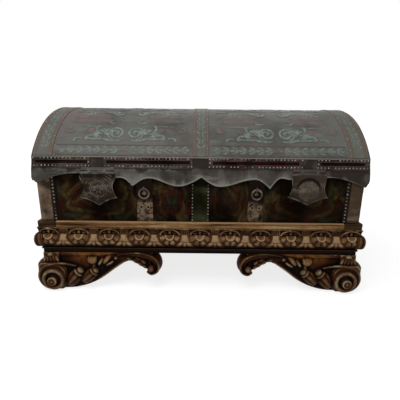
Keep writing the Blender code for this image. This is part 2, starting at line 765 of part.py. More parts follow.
def make_lid_boards():
    low = LID_BOTTOM
    seat = LID_EDGE
    inner_y = LID_BOARDS_Y - BOARD
    front = block((-LID_BOARDS_X, -LID_BOARDS_Y, low), (LID_BOARDS_X, -inner_y, seat - SEAT))
    put("lid_back_rail", mirrored(front, 1, -1), BOARD_WOOD)
    put("lid_front_rail", front, BOARD_WOOD)
    end_radius = DOME_BOARD_INNER - SEAT
    end_y = inner_y - SEAT
    arch = [(y, z) for y, z in dome_arc(end_radius, seat) if abs(y) < end_y]
    end_top = DOME_CENTRE + math.sqrt(end_radius**2 - end_y**2)
    loop = [(-end_y, low), (-end_y, end_top)] + arch + [(end_y, end_top), (end_y, low)]
    left = outline_solid([loop], "YZ", -LID_BOARDS_X, -LID_BOARDS_X + BOARD)
    put("lid_right_end", mirrored(left, -1, 1), BOARD_WOOD)
    put("lid_left_end", left, BOARD_WOOD)
    outer = list(dome_arc(DOME_BOARD_OUTER, seat))
    inner = list(dome_arc(DOME_BOARD_INNER, seat))
    dome = outline_solid([outer + inner[::-1]], "YZ", -LID_BOARDS_X, LID_BOARDS_X)
    put("dome_boards", dome, BOARD_WOOD)


def make_dome_leather():
    """Leather over the dome, which turns down over the back rail."""
    outer = list(dome_arc(DOME_RADIUS, LID_EDGE))
    inner = list(dome_arc(DOME_RADIUS - LEATHER, LID_EDGE))
    inner_back = LID_Y - LEATHER
    back = [(LID_Y, LID_BOTTOM), (inner_back, LID_BOTTOM), (inner_back, LID_EDGE)]
    cover = outline_solid([outer + back + inner[::-1]], "YZ", -LID_BOARDS_X, LID_BOARDS_X)
    put("dome_leather", cover, LID_LEATHER)


def scallop_drop(place, scallops):
    """Drop of a skirt's lower edge: sharp points meet straight, and round ones level."""
    place = abs(place)
    for (start, start_drop, start_sharp), (end, end_drop, end_sharp) in zip(scallops, scallops[1:]):
        if place <= end:
            break
    part = min(max((place - start) / (end - start), 0.0), 1.0)
    if start_sharp:
        ease = math.sin(part * math.pi / 2)
    elif end_sharp:
        ease = 1 - math.cos(part * math.pi / 2)
    else:
        ease = (1 - math.cos(part * math.pi)) / 2
    return start_drop + (end_drop - start_drop) * ease


def scallop_stations(scallops):
    """Places along a skirt, with every low point and arch among them."""
    half = [0.0]
    for start, end in zip(scallops, scallops[1:]):
        half += [start[0] + (end[0] - start[0]) * (step + 1) / SCALLOP_STEPS for step in range(SCALLOP_STEPS)]
    return [-place for place in reversed(half[1:])] + half


def flare(drop):
    return SKIRT_FLARE * (max(drop, 0.0) / SKIRT_REACH) ** SKIRT_BEND


def make_front_skirt():
    """Leather down the front of the lid that ends in the scalloped skirt."""
    stations = scallop_stations(FRONT_SCALLOPS)

    def place(column, row):
        along = stations[column]
        drop = scallop_drop(along, FRONT_SCALLOPS) * (SKIRT_STEPS - row) / SKIRT_STEPS
        if row > SKIRT_STEPS:
            return Vector((along, -LID_Y, LID_EDGE - SEAT))
        spread = 1 + flare(drop) / LID_BOARDS_X if abs(along) == LID_BOARDS_X else 1
        return Vector((along * spread, -LID_Y - flare(drop), LID_BOTTOM - drop))

    sheet = shaped_sheet(len(stations) - 1, SKIRT_STEPS + 1, place, LEATHER)
    put("front_skirt", sheet, LID_LEATHER)


def make_end_leathers():
    """Half-moon leather on each end of the lid, with its own scalloped edge."""
    stations = scallop_stations(END_SCALLOPS)

    def place(column, row):
        along = stations[column]
        drop = scallop_drop(along, END_SCALLOPS) * (SKIRT_STEPS - row) / SKIRT_STEPS
        if row > SKIRT_STEPS:
            return Vector((LID_X, along, DOME_CENTRE + math.sqrt(DOME_RADIUS**2 - along**2)))
        spread = 1 + flare(drop) / LID_Y if along == -LID_Y else 1
        return Vector((LID_X + flare(drop), along * spread, LID_BOTTOM - drop))

    right = shaped_sheet(len(stations) - 1, SKIRT_STEPS + 1, place, LEATHER)
    put("end_leather_left", mirrored(right, -1, 1), LID_LEATHER)
    put("end_leather_right", right, LID_LEATHER)


def make_fascia_strips():
    """Nailed strips on the front of the lid, each with a sunk channel."""
    low = LID_BOTTOM + FASCIA_STRIP_INSET
    high = LID_EDGE - FASCIA_STRIP_TOP
    face = -(LID_Y + SEAT)
    spans = (
        ("outer_left", -LID_X + FASCIA_END_INSET, HASP_LEFT_X - FASCIA_HASP_GAP),
        ("inner_left", HASP_LEFT_X + FASCIA_HASP_GAP, -FASCIA_CENTRE_GAP),
        ("inner_right", FASCIA_CENTRE_GAP, HASP_RIGHT_X - FASCIA_HASP_GAP),
        ("outer_right", HASP_RIGHT_X + FASCIA_HASP_GAP, LID_X - FASCIA_END_INSET),
    )
    for name, start, end in spans:
        bm = bmesh.new()
        bm.from_mesh(block((start, face - FASCIA_STRIP_THICK, low), (end, face, high)))
        bm.faces.ensure_lookup_table()
        front = [side for side in bm.faces if side.normal.y < -0.5]
        bmesh.ops.inset_region(bm, faces=front, thickness=FASCIA_CHANNEL_INSET, depth=0)
        sunk = [side for side in front if side.is_valid]
        for vertex in {corner for side in sunk for corner in side.verts}:
            vertex.co.y += FASCIA_CHANNEL_DEPTH
        put("fascia_strip_" + name, mesh_from(bm, name), RED_LEATHER)


HASP_AXIS = Vector((0, -(LID_Y + HASP_AXIS_OUT), LID_BOTTOM - HASP_AXIS_DROP))


def hasp(x):
    """A shield-shaped flap with a round boss, rolled at its top into a knuckle."""
    top = HASP_AXIS.z - HASP_KNUCKLE - HASP_THICK / 2
    half = (
        (HASP_TOP / 2, top, "corner"),
        (HASP_WAIST / 2, LID_BOTTOM - HASP_WAIST_DROP),
        (HASP_EARS / 2, LID_BOTTOM - HASP_EARS_DROP, "corner"),
        (HASP_FOOT / 2, LID_BOTTOM - HASP_FOOT_DROP, "corner"),
        (HASP_TIP / 2, LID_BOTTOM - HASP_TIP_DROP),
        (0, LID_BOTTOM - HASP_POINT_DROP, "corner"),
    )
    right = [(x + place[0], *place[1:]) for place in half]
    left = [(x - place[0], *place[1:]) for place in reversed(half[:-1])]
    back = HASP_AXIS.y + HASP_THICK / 2
    front = back - HASP_THICK
    flap = outline_solid([right + left], "XZ", front, back, smooth=True)
    boss_z = LID_BOTTOM - HASP_BOSS_DROP
    boss = rod((x, back - HASP_THICK / 2, boss_z), (x, front - HASP_BOSS_HEIGHT, boss_z), HASP_BOSS, 24)
    ends = [(x + s * HASP_KNUCKLE_WIDTH / 2, HASP_AXIS.y, HASP_AXIS.z) for s in (-1, 1)]
    knuckle = rod(*ends, HASP_KNUCKLE)
    neck = block((ends[0][0], front, top - HASP_THICK), (ends[1][0], back, HASP_AXIS.z))
    whole = combined(flap, [boss, knuckle, neck], "UNION")
    bore = rod(
        (x - HASP_KNUCKLE_WIDTH, HASP_AXIS.y, HASP_AXIS.z),
        (x + HASP_KNUCKLE_WIDTH, HASP_AXIS.y, HASP_AXIS.z),
        HASP_PIN + PIN_PLAY,
    )
    return combined(whole, [bore], "DIFFERENCE")


def hasp_hinge(x):
    """A plate nailed under the fascia strips, whose lugs carry the hasp's pin."""
    high = LID_BOTTOM + FASCIA_STRIP_INSET - SEAT
    face = -(LID_Y + SEAT)
    near = HASP_KNUCKLE_WIDTH / 2 + PIN_PLAY
    far = near + HASP_LUG
    plate = block((x - far, face - HASP_PLATE, LID_BOTTOM), (x + far, face, high))
    lug_back = face - HASP_PLATE / 2
    lug_top = high - SEAT
    nose = list(arc((HASP_AXIS.y, HASP_AXIS.z), HASP_KNUCKLE, HASP_KNUCKLE, 270, 180, 4))
    loop = [(lug_back, lug_top), (lug_back, HASP_AXIS.z - HASP_KNUCKLE)] + nose
    loop += [(HASP_AXIS.y - HASP_KNUCKLE, lug_top)]
    lugs = []
    for s in (-1, 1):
        low_x, high_x = sorted((x + s * near, x + s * far))
        lugs.append(outline_solid([loop], "YZ", low_x, high_x))
    pin_ends = [(x + s * (far - HASP_LUG / 4), HASP_AXIS.y, HASP_AXIS.z) for s in (-1, 1)]
    return combined(plate, lugs + [rod(*pin_ends, HASP_PIN)], "UNION")


def make_hasps():
    for side, x in (("left", HASP_LEFT_X), ("right", HASP_RIGHT_X)):
        put("hasp_" + side, hasp(x), WORN_LEATHER)
        put("hasp_hinge_" + side, hasp_hinge(x), IRON)


# Hinges between the body and the lid

LID_AXIS = Vector((0, LID_Y + HINGE_OUT, RIM))


def make_hinges():
    third = HINGE_WIDTH / 6  # half of one knuckle
    half = HINGE_WIDTH / 2
    y, z = LID_AXIS.y, LID_AXIS.z
    web = HINGE_KNUCKLE / 2
    plate_low = z + HINGE_KNUCKLE + PIN_PLAY
    body_face = BODY_Y + SEAT
    lid_face = LID_Y + SEAT
    for side, sx in SIDES:
        x = sx * HINGE_X
        body_leaf = combined(
            block(
                (x - half, body_face, z - HINGE_KNUCKLE - web - HINGE_LEAF),
                (x + half, body_face + HINGE_PLATE, z - HINGE_KNUCKLE),
            ),
            [
                block((x - third, body_face, z - HINGE_KNUCKLE - web), (x + third, y, z - web)),
                rod((x - third, y, z), (x + third, y, z), HINGE_KNUCKLE),
                rod((x - half, y, z), (x + half, y, z), HINGE_PIN),
            ],
            "UNION",
        )
        put("hinge_body_" + side, body_leaf, IRON)
        knuckles = []
        for s in (-1, 1):
            near = x + s * (third + PIN_PLAY)
            far = x + s * half
            low_x, high_x = sorted((near, far))
            knuckles.append(rod((near, y, z), (far, y, z), HINGE_KNUCKLE))
            knuckles.append(block((low_x, lid_face, z + web), (high_x, y, plate_low + HINGE_PLATE)))
        plate = block(
            (x - half, lid_face, plate_low), (x + half, lid_face + HINGE_PLATE, LID_BOTTOM + HINGE_LEAF)
        )
        bore = rod((x - HINGE_WIDTH, y, z), (x + HINGE_WIDTH, y, z), HINGE_PIN + PIN_PLAY)
        lid_leaf = combined(combined(plate, knuckles, "UNION"), [bore], "DIFFERENCE")
        put("hinge_lid_" + side, lid_leaf, IRON)


# Joints: each moving group hangs on an empty that sits on its axis

def hang(name, place, parent, names):
    pivot = bpy.data.objects.new(name, None)
    chest_parts.objects.link(pivot)
    pivot.parent = parent
    pivot.location = place - (parent.matrix_world.translation if parent else Vector())
    bpy.context.view_layer.update()
    for part_name in names:
        part = bpy.data.objects[part_name]
        part.data.transform(Matrix.Translation(-place))
        part.parent = pivot
    return pivot


def names_with(*starts):
    return [part.name for part in chest_parts.objects if part.name.startswith(starts)]


def make_joints():
    stand = hang(
        "stand_frame", Vector(), None, names_with("rail_", "strip_", "corner_block_", "foot_")
    )
    chest = hang(
        "chest_lift",
        Vector((0, 0, BODY_BOTTOM)),
        stand,
        ["front_board", "back_board", "left_board", "right_board", "bottom_board", "body_leather", "centre_band"]
        + names_with("corner_strap_", "iron_strap_", "ring_staple_", "lock_", "handle_plate_", "hinge_body_"),
    )
    lid = hang(
        "lid_hinge",
        LID_AXIS,
        chest,
        ["dome_boards", "dome_leather", "front_skirt"]
        + names_with("lid_front", "lid_back", "lid_left", "lid_right", "end_leather_", "fascia_strip_")
        + names_with("hasp_hinge_", "hinge_lid_"),
    )
    for side, x in (("left", HASP_LEFT_X), ("right", HASP_RIGHT_X)):
        hang("hasp_pivot_" + side, Vector((x, HASP_AXIS.y, HASP_AXIS.z)), lid, ["hasp_" + side])
    for side, sx in SIDES:
        ring = Vector((sx * IRON_STRAP_X, RING_PIVOT.y, RING_PIVOT.z))
        hang("ring_pivot_" + side, ring, chest, ["ring_" + side])
        handle = Vector((sx * HANDLE_PIVOT.x, HANDLE_PIVOT.y, HANDLE_PIVOT.z))
        hang("handle_pivot_" + side, handle, chest, ["handle_" + side])


def main():
    make_rails()
    make_locating_strips()
    make_feet()
    make_boards()
    make_straps()
    make_rings()
    make_locks()
    make_handles()
    make_lid_boards()
    make_dome_leather()
    make_front_skirt()
    make_end_leathers()
    make_fascia_strips()
    make_hasps()
    make_hinges()
    make_joints()
    for part in chest_parts.objects:
        if part.type == "MESH":
            part.data.shade_smooth()
            part.data.set_sharp_from_angle(angle=math.radians(35))


main()
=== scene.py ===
"""Looks of a leather chest on stand: painted leather, brass nails, dull iron and a carved gilt stand.

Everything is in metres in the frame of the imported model: X along the chest, +Y to its back, +Z up.
"""

import math
import random

import bmesh
import bpy
import numpy as np
from mathutils import Matrix, Vector, noise


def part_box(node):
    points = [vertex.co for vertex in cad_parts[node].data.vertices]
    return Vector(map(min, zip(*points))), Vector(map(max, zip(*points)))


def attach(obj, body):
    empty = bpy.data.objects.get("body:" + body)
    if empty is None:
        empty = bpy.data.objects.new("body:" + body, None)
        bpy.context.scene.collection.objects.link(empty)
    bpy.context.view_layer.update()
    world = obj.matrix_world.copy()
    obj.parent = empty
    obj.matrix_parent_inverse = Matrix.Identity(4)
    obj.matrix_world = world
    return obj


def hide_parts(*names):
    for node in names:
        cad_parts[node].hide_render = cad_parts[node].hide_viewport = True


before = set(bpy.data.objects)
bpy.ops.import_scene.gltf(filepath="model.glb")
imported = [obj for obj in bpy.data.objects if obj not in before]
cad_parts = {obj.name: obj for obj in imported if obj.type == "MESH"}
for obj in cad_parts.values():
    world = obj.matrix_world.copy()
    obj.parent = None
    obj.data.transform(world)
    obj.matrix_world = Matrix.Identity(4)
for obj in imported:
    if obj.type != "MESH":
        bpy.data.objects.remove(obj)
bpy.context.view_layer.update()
draw = random.Random(7)

# Gap between touching pieces, and thickness of the leather
SEAT = 0.0003
LEATHER = 0.003

# Sides and corners, with their directions along X and Y
SIDES = (("left", -1), ("right", 1))
CORNERS = [(end + "_" + side, sx, sy) for end, sy in (("front", -1), ("back", 1)) for side, sx in SIDES]

# Sizes read from the frame
BODY_LOW, BODY_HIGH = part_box("body_leather")
BODY_X = BODY_HIGH.x
BODY_Y = BODY_HIGH.y
RIM = BODY_HIGH.z
DOME_LOW, DOME_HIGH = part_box("dome_leather")
LID_X = DOME_HIGH.x + SEAT + LEATHER
LID_Y = DOME_HIGH.y
LID_BOTTOM = DOME_LOW.z
LID_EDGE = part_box("lid_front_rail")[1].z + SEAT
CREST = DOME_HIGH.z
DOME_RADIUS = (LID_Y**2 + (CREST - LID_EDGE) ** 2) / (2 * (CREST - LID_EDGE))
DOME_CENTRE = CREST - DOME_RADIUS
DOME_HALF_ANGLE = math.acos((LID_EDGE - DOME_CENTRE) / DOME_RADIUS)
DOME_ARC = 2 * DOME_HALF_ANGLE * DOME_RADIUS
RAIL_LOW, RAIL_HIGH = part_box("rail_back")
HASP_X = {side: sum(corner.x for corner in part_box("hasp_" + side)) / 2 for side, _ in SIDES}

# From this height up the body lies in the shade of the skirt, and its colours are darkened there as painted
# shade
SKIRT_SHADE_Z = 0.368


# Shader maths written as Python

class Socket:
    """The output of a node: arithmetic on it adds Math nodes."""

    def __init__(self, finish, socket):
        self.finish = finish
        self.socket = socket

    def math(self, operation, first, second=0.0):
        return self.finish.node("ShaderNodeMath", {"operation": operation}, {0: first, 1: second})

    def __add__(self, other):
        return self.math("ADD", self, other)

    def __radd__(self, other):
        return self.math("ADD", other, self)

    def __sub__(self, other):
        return self.math("SUBTRACT", self, other)

    def __rsub__(self, other):
        return self.math("SUBTRACT", other, self)

    def __mul__(self, other):
        return self.math("MULTIPLY", self, other)

    def __rmul__(self, other):
        return self.math("MULTIPLY", other, self)


class Finish:
    """A material in the making."""

    def __init__(self, name, roughness=0.5, metallic=0.0):
        self.material = bpy.data.materials.new(name)
        self.material.use_nodes = True
        self.tree = self.material.node_tree
        self.shader = self.tree.nodes["Principled BSDF"]
        self.feed(self.shader.inputs["Roughness"], roughness)
        self.feed(self.shader.inputs["Metallic"], metallic)

    def feed(self, target, value):
        if isinstance(value, Socket):
            self.tree.links.new(value.socket, target)
        elif hasattr(target.default_value, "__len__") and len(target.default_value) == 4:
            target.default_value = (*value, 1.0)
        else:
            target.default_value = value

    def node(self, kind, settings=None, inputs=None, output=0):
        made = self.tree.nodes.new(kind)
        for key, value in (settings or {}).items():
            setattr(made, key, value)
        for key, value in (inputs or {}).items():
            self.feed(made.inputs[key], value)
        return Socket(self, made.outputs[output])

    def place(self, scale=(1.0, 1.0, 1.0), turn=(0.0, 0.0, 0.0)):
        where = self.node("ShaderNodeTexCoord", output="Object")
        return self.node("ShaderNodeMapping", None, {"Vector": where, "Scale": scale, "Rotation": turn})

    def grain(self, scale, detail=4.0, rough=0.55, where=None):
        inputs = {"Vector": where or self.place(), "Scale": scale, "Detail": detail, "Roughness": rough}
        return self.node("ShaderNodeTexNoise", None, inputs)

    def cells(self, scale, feature="DISTANCE_TO_EDGE"):
        return self.node("ShaderNodeTexVoronoi", {"feature": feature}, {"Vector": self.place(), "Scale": scale})

    def value(self, name):
        """A named value that is stored on the points of the piece."""
        return self.node("ShaderNodeAttribute", {"attribute_name": name}, output="Fac")

    def height(self):
        """Height over the floor."""
        return self.node("ShaderNodeSeparateXYZ", None, {0: self.place()}, 2)

    def ramp(self, value, low, high):
        """0 under low and 1 over high, with a soft change between."""
        settings = {"interpolation_type": "SMOOTHSTEP"}
        return self.node("ShaderNodeMapRange", settings, {"Value": value, "From Min": low, "From Max": high})

    def mix(self, first, second, share):
        """Two colours mixed."""
        return self.node("ShaderNodeMix", {"data_type": "RGBA"}, {0: share, 6: first, 7: second}, output=2)

    def bump(self, height, strength, distance):
        return self.node("ShaderNodeBump", None, {"Height": height, "Strength": strength, "Distance": distance})

    def set(self, **values):
        for key, value in values.items():
            self.feed(self.shader.inputs[key.replace("_", " ").title().replace("Ior", "IOR")], value)
        return self.material


# Materials

def toned(colour, share):
    """A colour made darker or lighter."""
    return [channel * share for channel in colour]


def painted(made, ground, colour, worn, strength):
    """Old paint on its ground: it fades at the edges of a stroke and is rubbed through in places."""
    edge = made.value("edge")
    tone = made.mix(toned(colour, 0.8), toned(colour, 1.3), made.ramp(made.grain(75.0, 3.0), 0.36, 0.64))
    rubbed = made.ramp(made.grain(42.0, 3.0, 0.6), 0.66 - 0.25 * worn, 0.76 - 0.15 * worn) * 0.85
    drawn = made.mix(ground, toned(colour, 0.5), made.ramp(edge, 0.0, 0.2) * strength * 0.5)
    return made.mix(drawn, tone, made.ramp(edge, 0.2, 0.75) * (1 - rubbed) * strength)


def leather(name, dark, field, light, rough=0.5, cracks=0.6, stain=None, gloss=0.05, old=None, paint=None):
    """Old leather: clouds, grain, cracks and paint. It goes pale on rubbed rims and where light is painted, and
    dark where it is aged and where shade is painted, as values on its points say.
    """
    made = Finish(name)
    clouds = made.grain(7.0, 5.0, 0.6)
    streaks = made.grain(14.0, 6.0, 0.65, made.place((0.6, 2.0, 2.0)))
    specks = made.grain(160.0, 3.0, 0.7)
    crack = made.ramp(made.cells(95.0), 0.0, 0.05)
    colour = made.mix(dark, field, made.ramp(clouds, 0.35, 0.6))
    colour = made.mix(colour, light, made.ramp(streaks, 0.52, 0.74) * 0.7)
    if stain:
        colour = made.mix(colour, stain, made.ramp(made.grain(4.0, 3.0, 0.5), 0.56, 0.66) * 0.5)
    # Darker by the piece's age value: real age on some pieces, painted shade on the apron, the hasps and the
    # green band
    if old:
        colour = made.mix(colour, old, made.ramp(made.value("age") + (clouds - 0.5) * 0.8, 0.2, 0.8))
    if paint:
        colour = painted(made, colour, *paint)
    # Paler by the piece's wear value: rubbed places, and painted light on the lid's front edge and the skirt's
    # hem
    colour = made.mix(colour, light, made.ramp(made.value("wear"), 0.15, 0.9) * 0.85)
    colour = made.mix(dark, colour, 1 - cracks * (1 - crack) * 0.6)
    colour = made.mix(colour, dark, made.ramp(specks, 0.60, 0.75) * 0.4)
    height = made.grain(420.0, 2.0, 0.5) * 0.5 + crack * cracks + clouds
    return made.set(
        base_color=colour,
        roughness=rough + (streaks - 0.5) * 0.3,
        normal=made.bump(height, 0.35, 0.0006),
        specular_ior_level=gloss,
    )


def swirled_leather(name, paint=None):
    """Dark leather of the body with soft swirls of old paint in several colours, and painted shade under the
    skirt.
    """
    made = Finish(name)
    soot_and_shade = toned(BODY_GROUND, 0.2)
    tone = made.mix(BODY_GROUND, toned(BODY_GROUND, 0.35), made.ramp(made.grain(12.0, 5.0, 0.6), 0.40, 0.62))
    for count, (colour, scale, level) in enumerate(BODY_SWIRLS):
        where = made.place((1.0, 1.0, 0.75), (0.3 * count, 0.7 * count, 1.1 * count))
        inputs = {"Vector": where, "Scale": scale, "Detail": 3.0, "Roughness": 0.55, "Distortion": 1.6}
        swirl = made.node("ShaderNodeTexNoise", None, inputs)
        tone = made.mix(tone, colour, made.ramp(swirl, level - 0.02, level + 0.13) * 0.9)
    if paint:
        tone = painted(made, tone, *paint)
    tone = made.mix(tone, soot_and_shade, made.ramp(made.grain(5.5, 3.0, 0.5), 0.50, 0.63) * 0.65)
    # Painted shade: from the skirt's shade height up, the colour goes nearly black
    height = made.height() + (made.grain(9.0) - 0.5) * 0.06
    tone = made.mix(tone, soot_and_shade, made.ramp(height, SKIRT_SHADE_Z, SKIRT_SHADE_Z + 0.040) * 0.75)
    crack = made.ramp(made.cells(110.0), 0.0, 0.06)
    tone = made.mix(soot_and_shade, tone, 0.55 + crack * 0.45)
    tone = made.mix(tone, soot_and_shade, made.ramp(made.grain(150.0, 3.0, 0.7), 0.56, 0.72) * 0.6)
    return made.set(
        base_color=tone,
        roughness=0.42 + made.grain(30.0) * 0.25,
        normal=made.bump(made.grain(300.0, 2.0, 0.5) * 0.5 + crack * 0.6, 0.4, 0.0006),
        specular_ior_level=0.008,
    )


OLD_GOLD = (0.258, 0.158, 0.082)


def old_wood(name, hollow, ground, ridge, gilt, carved=True, edges=None, worn=0.0, golden=OLD_GOLD):
    """Old gilt wood, its grain along X. On carving, dirt lies in the hollows and gilding on the ridges."""
    made = Finish(name)
    streaks = made.grain(11.0, 5.0, 0.65, made.place((0.25, 5.0, 5.0)))
    relief = made.value("relief") if carved else streaks * 3.0 - 0.95
    along = made.grain(9.0, 6.0, 0.6, made.place((1.0, 6.0, 6.0)))
    patches = made.grain(16.0, 4.0, 0.6)
    colour = made.mix(hollow, ground, made.ramp(relief, 0.18, 0.46))
    breaks = made.grain(48.0, 4.0, 0.65)
    ridges = relief + (along - 0.5) * 0.5 + (breaks - 0.5) * 0.3 - worn
    colour = made.mix(colour, ridge, made.ramp(ridges, 0.45, 0.70))
    tops = relief + (patches - 0.5) * 0.8 + (breaks - 0.5) * 0.5 - worn
    colour = made.mix(colour, gilt, made.ramp(tops, 0.66, 0.92))
    # Painted shade over the lower part and a painted highlight along the top edge, at the two heights in edges
    if edges:
        height = made.height() + (along - 0.5) * 0.006
        colour = made.mix(hollow, colour, made.ramp(height, edges[0], edges[0] + 0.006) * 0.6 + 0.4)
        colour = made.mix(colour, gilt, made.ramp(height, edges[1] - 0.0035, edges[1]) * 0.7)
    shown = made.value("gold") * made.ramp(relief, 0.22, 0.60) * made.ramp(breaks, 0.30, 0.55)
    colour = made.mix(colour, golden, shown * 0.85)
    colour = made.mix(colour, hollow, made.ramp(made.grain(120.0, 4.0, 0.7), 0.58, 0.75) * 0.55)
    return made.set(
        base_color=colour,
        roughness=0.42 + (patches - 0.5) * 0.35,
        normal=made.bump(along + made.grain(220.0) * 0.4 + made.grain(70.0, 3.0) * 0.8, 0.4, 0.0010),
        specular_ior_level=0.03,
    )


def worn_iron(name, dark, field, light, metallic, hammered=False):
    """Old iron with pits and rubbed spots. Where it is hammered, only the high places are rubbed."""
    made = Finish(name, metallic=metallic)
    blotch = made.grain(45.0, 5.0, 0.65)
    pits = made.ramp(made.cells(140.0, "F1"), 0.12, 0.34)
    colour = made.mix(dark, field, made.ramp(blotch, 0.34, 0.52))
    rubbed = made.ramp(blotch, 0.50, 0.68)
    if hammered:
        rubbed = made.ramp(made.value("relief") + (blotch - 0.5) * 0.6, 0.30, 0.62)
        colour = made.mix(dark, colour, made.ramp(made.value("relief"), -0.10, 0.25))
    colour = made.mix(colour, light, rubbed)
    colour = made.mix(dark, colour, 0.45 + pits * 0.55)
    return made.set(
        base_color=colour,
        roughness=0.42 + blotch * 0.3,
        normal=made.bump(blotch + pits * 0.6, 0.4, 0.0007),
        specular_ior_level=0.05,
    )


def nail_brass():
    """Dull brass heads: each nail has its own tone, from nearly black to bright."""
    made = Finish("nail_brass", metallic=0.85)
    tone = made.value("tone")
    dirt = made.grain(300.0, 3.0, 0.6)
    bright = made.ramp(tone + (dirt - 0.5) * 0.4, 0.0, 1.0)
    colour = made.mix((0.030, 0.022, 0.018), (0.36, 0.30, 0.26), bright)
    return made.set(base_color=colour, roughness=0.30 + dirt * 0.3, normal=made.bump(dirt, 0.2, 0.0004))


def board_wood():
    """Bare softwood of the inside."""
    made = Finish("board_wood")
    rings = made.grain(5.0, 5.0, 0.55, made.place((0.35, 5.0, 5.0)))
    fibre = made.grain(60.0, 4.0, 0.6, made.place((0.1, 1.0, 1.0)))
    colour = made.mix((0.11, 0.06, 0.03), (0.27, 0.16, 0.085), made.ramp(rings, 0.35, 0.65))
    colour = made.mix(colour, (0.06, 0.033, 0.018), made.ramp(fibre, 0.55, 0.75) * 0.5)
    return made.set(base_color=colour, roughness=0.6 + fibre * 0.2, normal=made.bump(fibre, 0.3, 0.0006))


LID_HIDE = (
    (0.068, 0.066, 0.060), (0.108, 0.106, 0.096), (0.150, 0.149, 0.136), 0.5, 0.4, (0.132, 0.098, 0.094)
)
LID_LEATHER = leather("lid_leather", *LID_HIDE)
PAINT_GREEN = leather("paint_green", *LID_HIDE, paint=((0.150, 0.175, 0.156), 0.45, 0.80))
PAINT_BORDER = leather("paint_border", *LID_HIDE, paint=((0.138, 0.160, 0.142), 0.50, 0.60))
PAINT_RED = leather("paint_red", *LID_HIDE, paint=((0.140, 0.100, 0.097), 0.45, 0.60))
PAINT_BROWN = leather("paint_brown", *LID_HIDE, paint=((0.085, 0.058, 0.046), 0.40, 0.9))
BAND_HIDE = ((0.074, 0.075, 0.063), (0.107, 0.111, 0.094), (0.140, 0.116, 0.096))
BAND_LEATHER = leather("band_leather", *BAND_HIDE, old=(0.104, 0.080, 0.063))
BAND_PAINT = leather("band_paint", *BAND_HIDE, paint=((0.138, 0.162, 0.138), 0.45, 0.60))
SKIRT_HIDE = ((0.030, 0.025, 0.020), (0.072, 0.064, 0.054), (0.185, 0.175, 0.154), 0.45, 0.4)
SKIRT_LEATHER = leather("skirt_leather", *SKIRT_HIDE, (0.058, 0.066, 0.048), old=(0.026, 0.019, 0.015))
BODY_GROUND = (0.0125, 0.0070, 0.0036)
# Colour of the swirls, their scale, and the level from which they show
BODY_SWIRLS = (
    ((0.0620, 0.0370, 0.0120), 11.0, 0.53),
    ((0.0160, 0.0220, 0.0100), 13.0, 0.56),
    ((0.0380, 0.0075, 0.0055), 12.0, 0.57),
)
BODY_LEATHER = swirled_leather("body_leather")
BODY_OCHRE = swirled_leather("body_ochre", ((0.074, 0.046, 0.015), 0.75, 0.6))
BODY_RED = swirled_leather("body_red", ((0.040, 0.0070, 0.0055), 0.75, 0.6))
BODY_GREEN = swirled_leather("body_green", ((0.0220, 0.0300, 0.0160), 0.7, 0.6))
WORN_HIDE = ((0.020, 0.012, 0.006), (0.080, 0.052, 0.031), (0.245, 0.178, 0.122), 0.55, 0.8)
WORN_LEATHER = leather("worn_leather", *WORN_HIDE, old=(0.008, 0.005, 0.003))
GREEN_HIDE = ((0.005, 0.005, 0.002), (0.0270, 0.0270, 0.0110), (0.044, 0.050, 0.023))
# The old colour of the green band stands for dirt and painted shade under the skirt
GREEN_LEATHER = leather("green_leather", *GREEN_HIDE, gloss=0.01, old=(0.003, 0.003, 0.0015))
RED_HIDE = ((0.010, 0.006, 0.005), (0.052, 0.040, 0.032), (0.125, 0.107, 0.092))
RED_LEATHER = leather("red_leather", *RED_HIDE, gloss=0.03)
CHANNEL_HIDE = ((0.004, 0.001, 0.001), (0.030, 0.0015, 0.0020), (0.055, 0.006, 0.007))
CHANNEL_RED = leather("channel_red", *CHANNEL_HIDE, gloss=0.01, old=(0.011, 0.006, 0.005))
DARK_HIDE = ((0.004, 0.002, 0.002), (0.012, 0.006, 0.005), (0.030, 0.016, 0.013))
CHANNEL_DARK = leather("channel_dark", *DARK_HIDE, gloss=0.01)
HASP_HIDE = ((0.012, 0.007, 0.005), (0.046, 0.034, 0.023), (0.160, 0.134, 0.106), 0.45, 0.3)
HASP_LEATHER = leather("hasp_leather", *HASP_HIDE, old=(0.006, 0.004, 0.003))
RAIL_TONES = ((0.0028, 0.0010, 0.0005), (0.034, 0.014, 0.006), (0.101, 0.052, 0.021), (0.265, 0.169, 0.090))
CARVED_GILT = old_wood("carved_gilt", *RAIL_TONES)
FOOT_TONES = ((0.0014, 0.0006, 0.0003), (0.039, 0.0105, 0.0028), (0.090, 0.058, 0.029), (0.228, 0.173, 0.100))
FOOT_WOOD = old_wood("foot_wood", *FOOT_TONES, worn=0.07, golden=(0.175, 0.064, 0.014))
STRIP_TONES = ((0.026, 0.010, 0.003), (0.115, 0.057, 0.020), (0.185, 0.100, 0.040), (0.31, 0.195, 0.100))
# The strips get painted shade low down and a painted highlight along their top edge
STRIP_WOOD = old_wood("strip_wood", *STRIP_TONES, False, edges=(0.2400, 0.2605))
DARK_TONES = ((0.006, 0.003, 0.002), (0.030, 0.015, 0.007), (0.055, 0.030, 0.014), (0.085, 0.048, 0.024))
DARK_WOOD = old_wood("dark_wood", *DARK_TONES, False)
STRAP_TONES = ((0.006, 0.0025, 0.0012), (0.044, 0.028, 0.016), (0.170, 0.120, 0.078))
STRAP_IRON = worn_iron("strap_iron", *STRAP_TONES, 0.10, hammered=True)
HINGE_IRON = worn_iron("hinge_iron", (0.004, 0.003, 0.002), (0.012, 0.009, 0.006), (0.030, 0.022, 0.016), 0.05)
PLATE_IRON = worn_iron("plate_iron", (0.010, 0.008, 0.006), (0.038, 0.030, 0.023), (0.090, 0.074, 0.058), 0.4)
RING_IRON = worn_iron("ring_iron", (0.018, 0.014, 0.011), (0.085, 0.066, 0.050), (0.20, 0.165, 0.13), 0.6)
NAIL_BRASS = nail_brass()
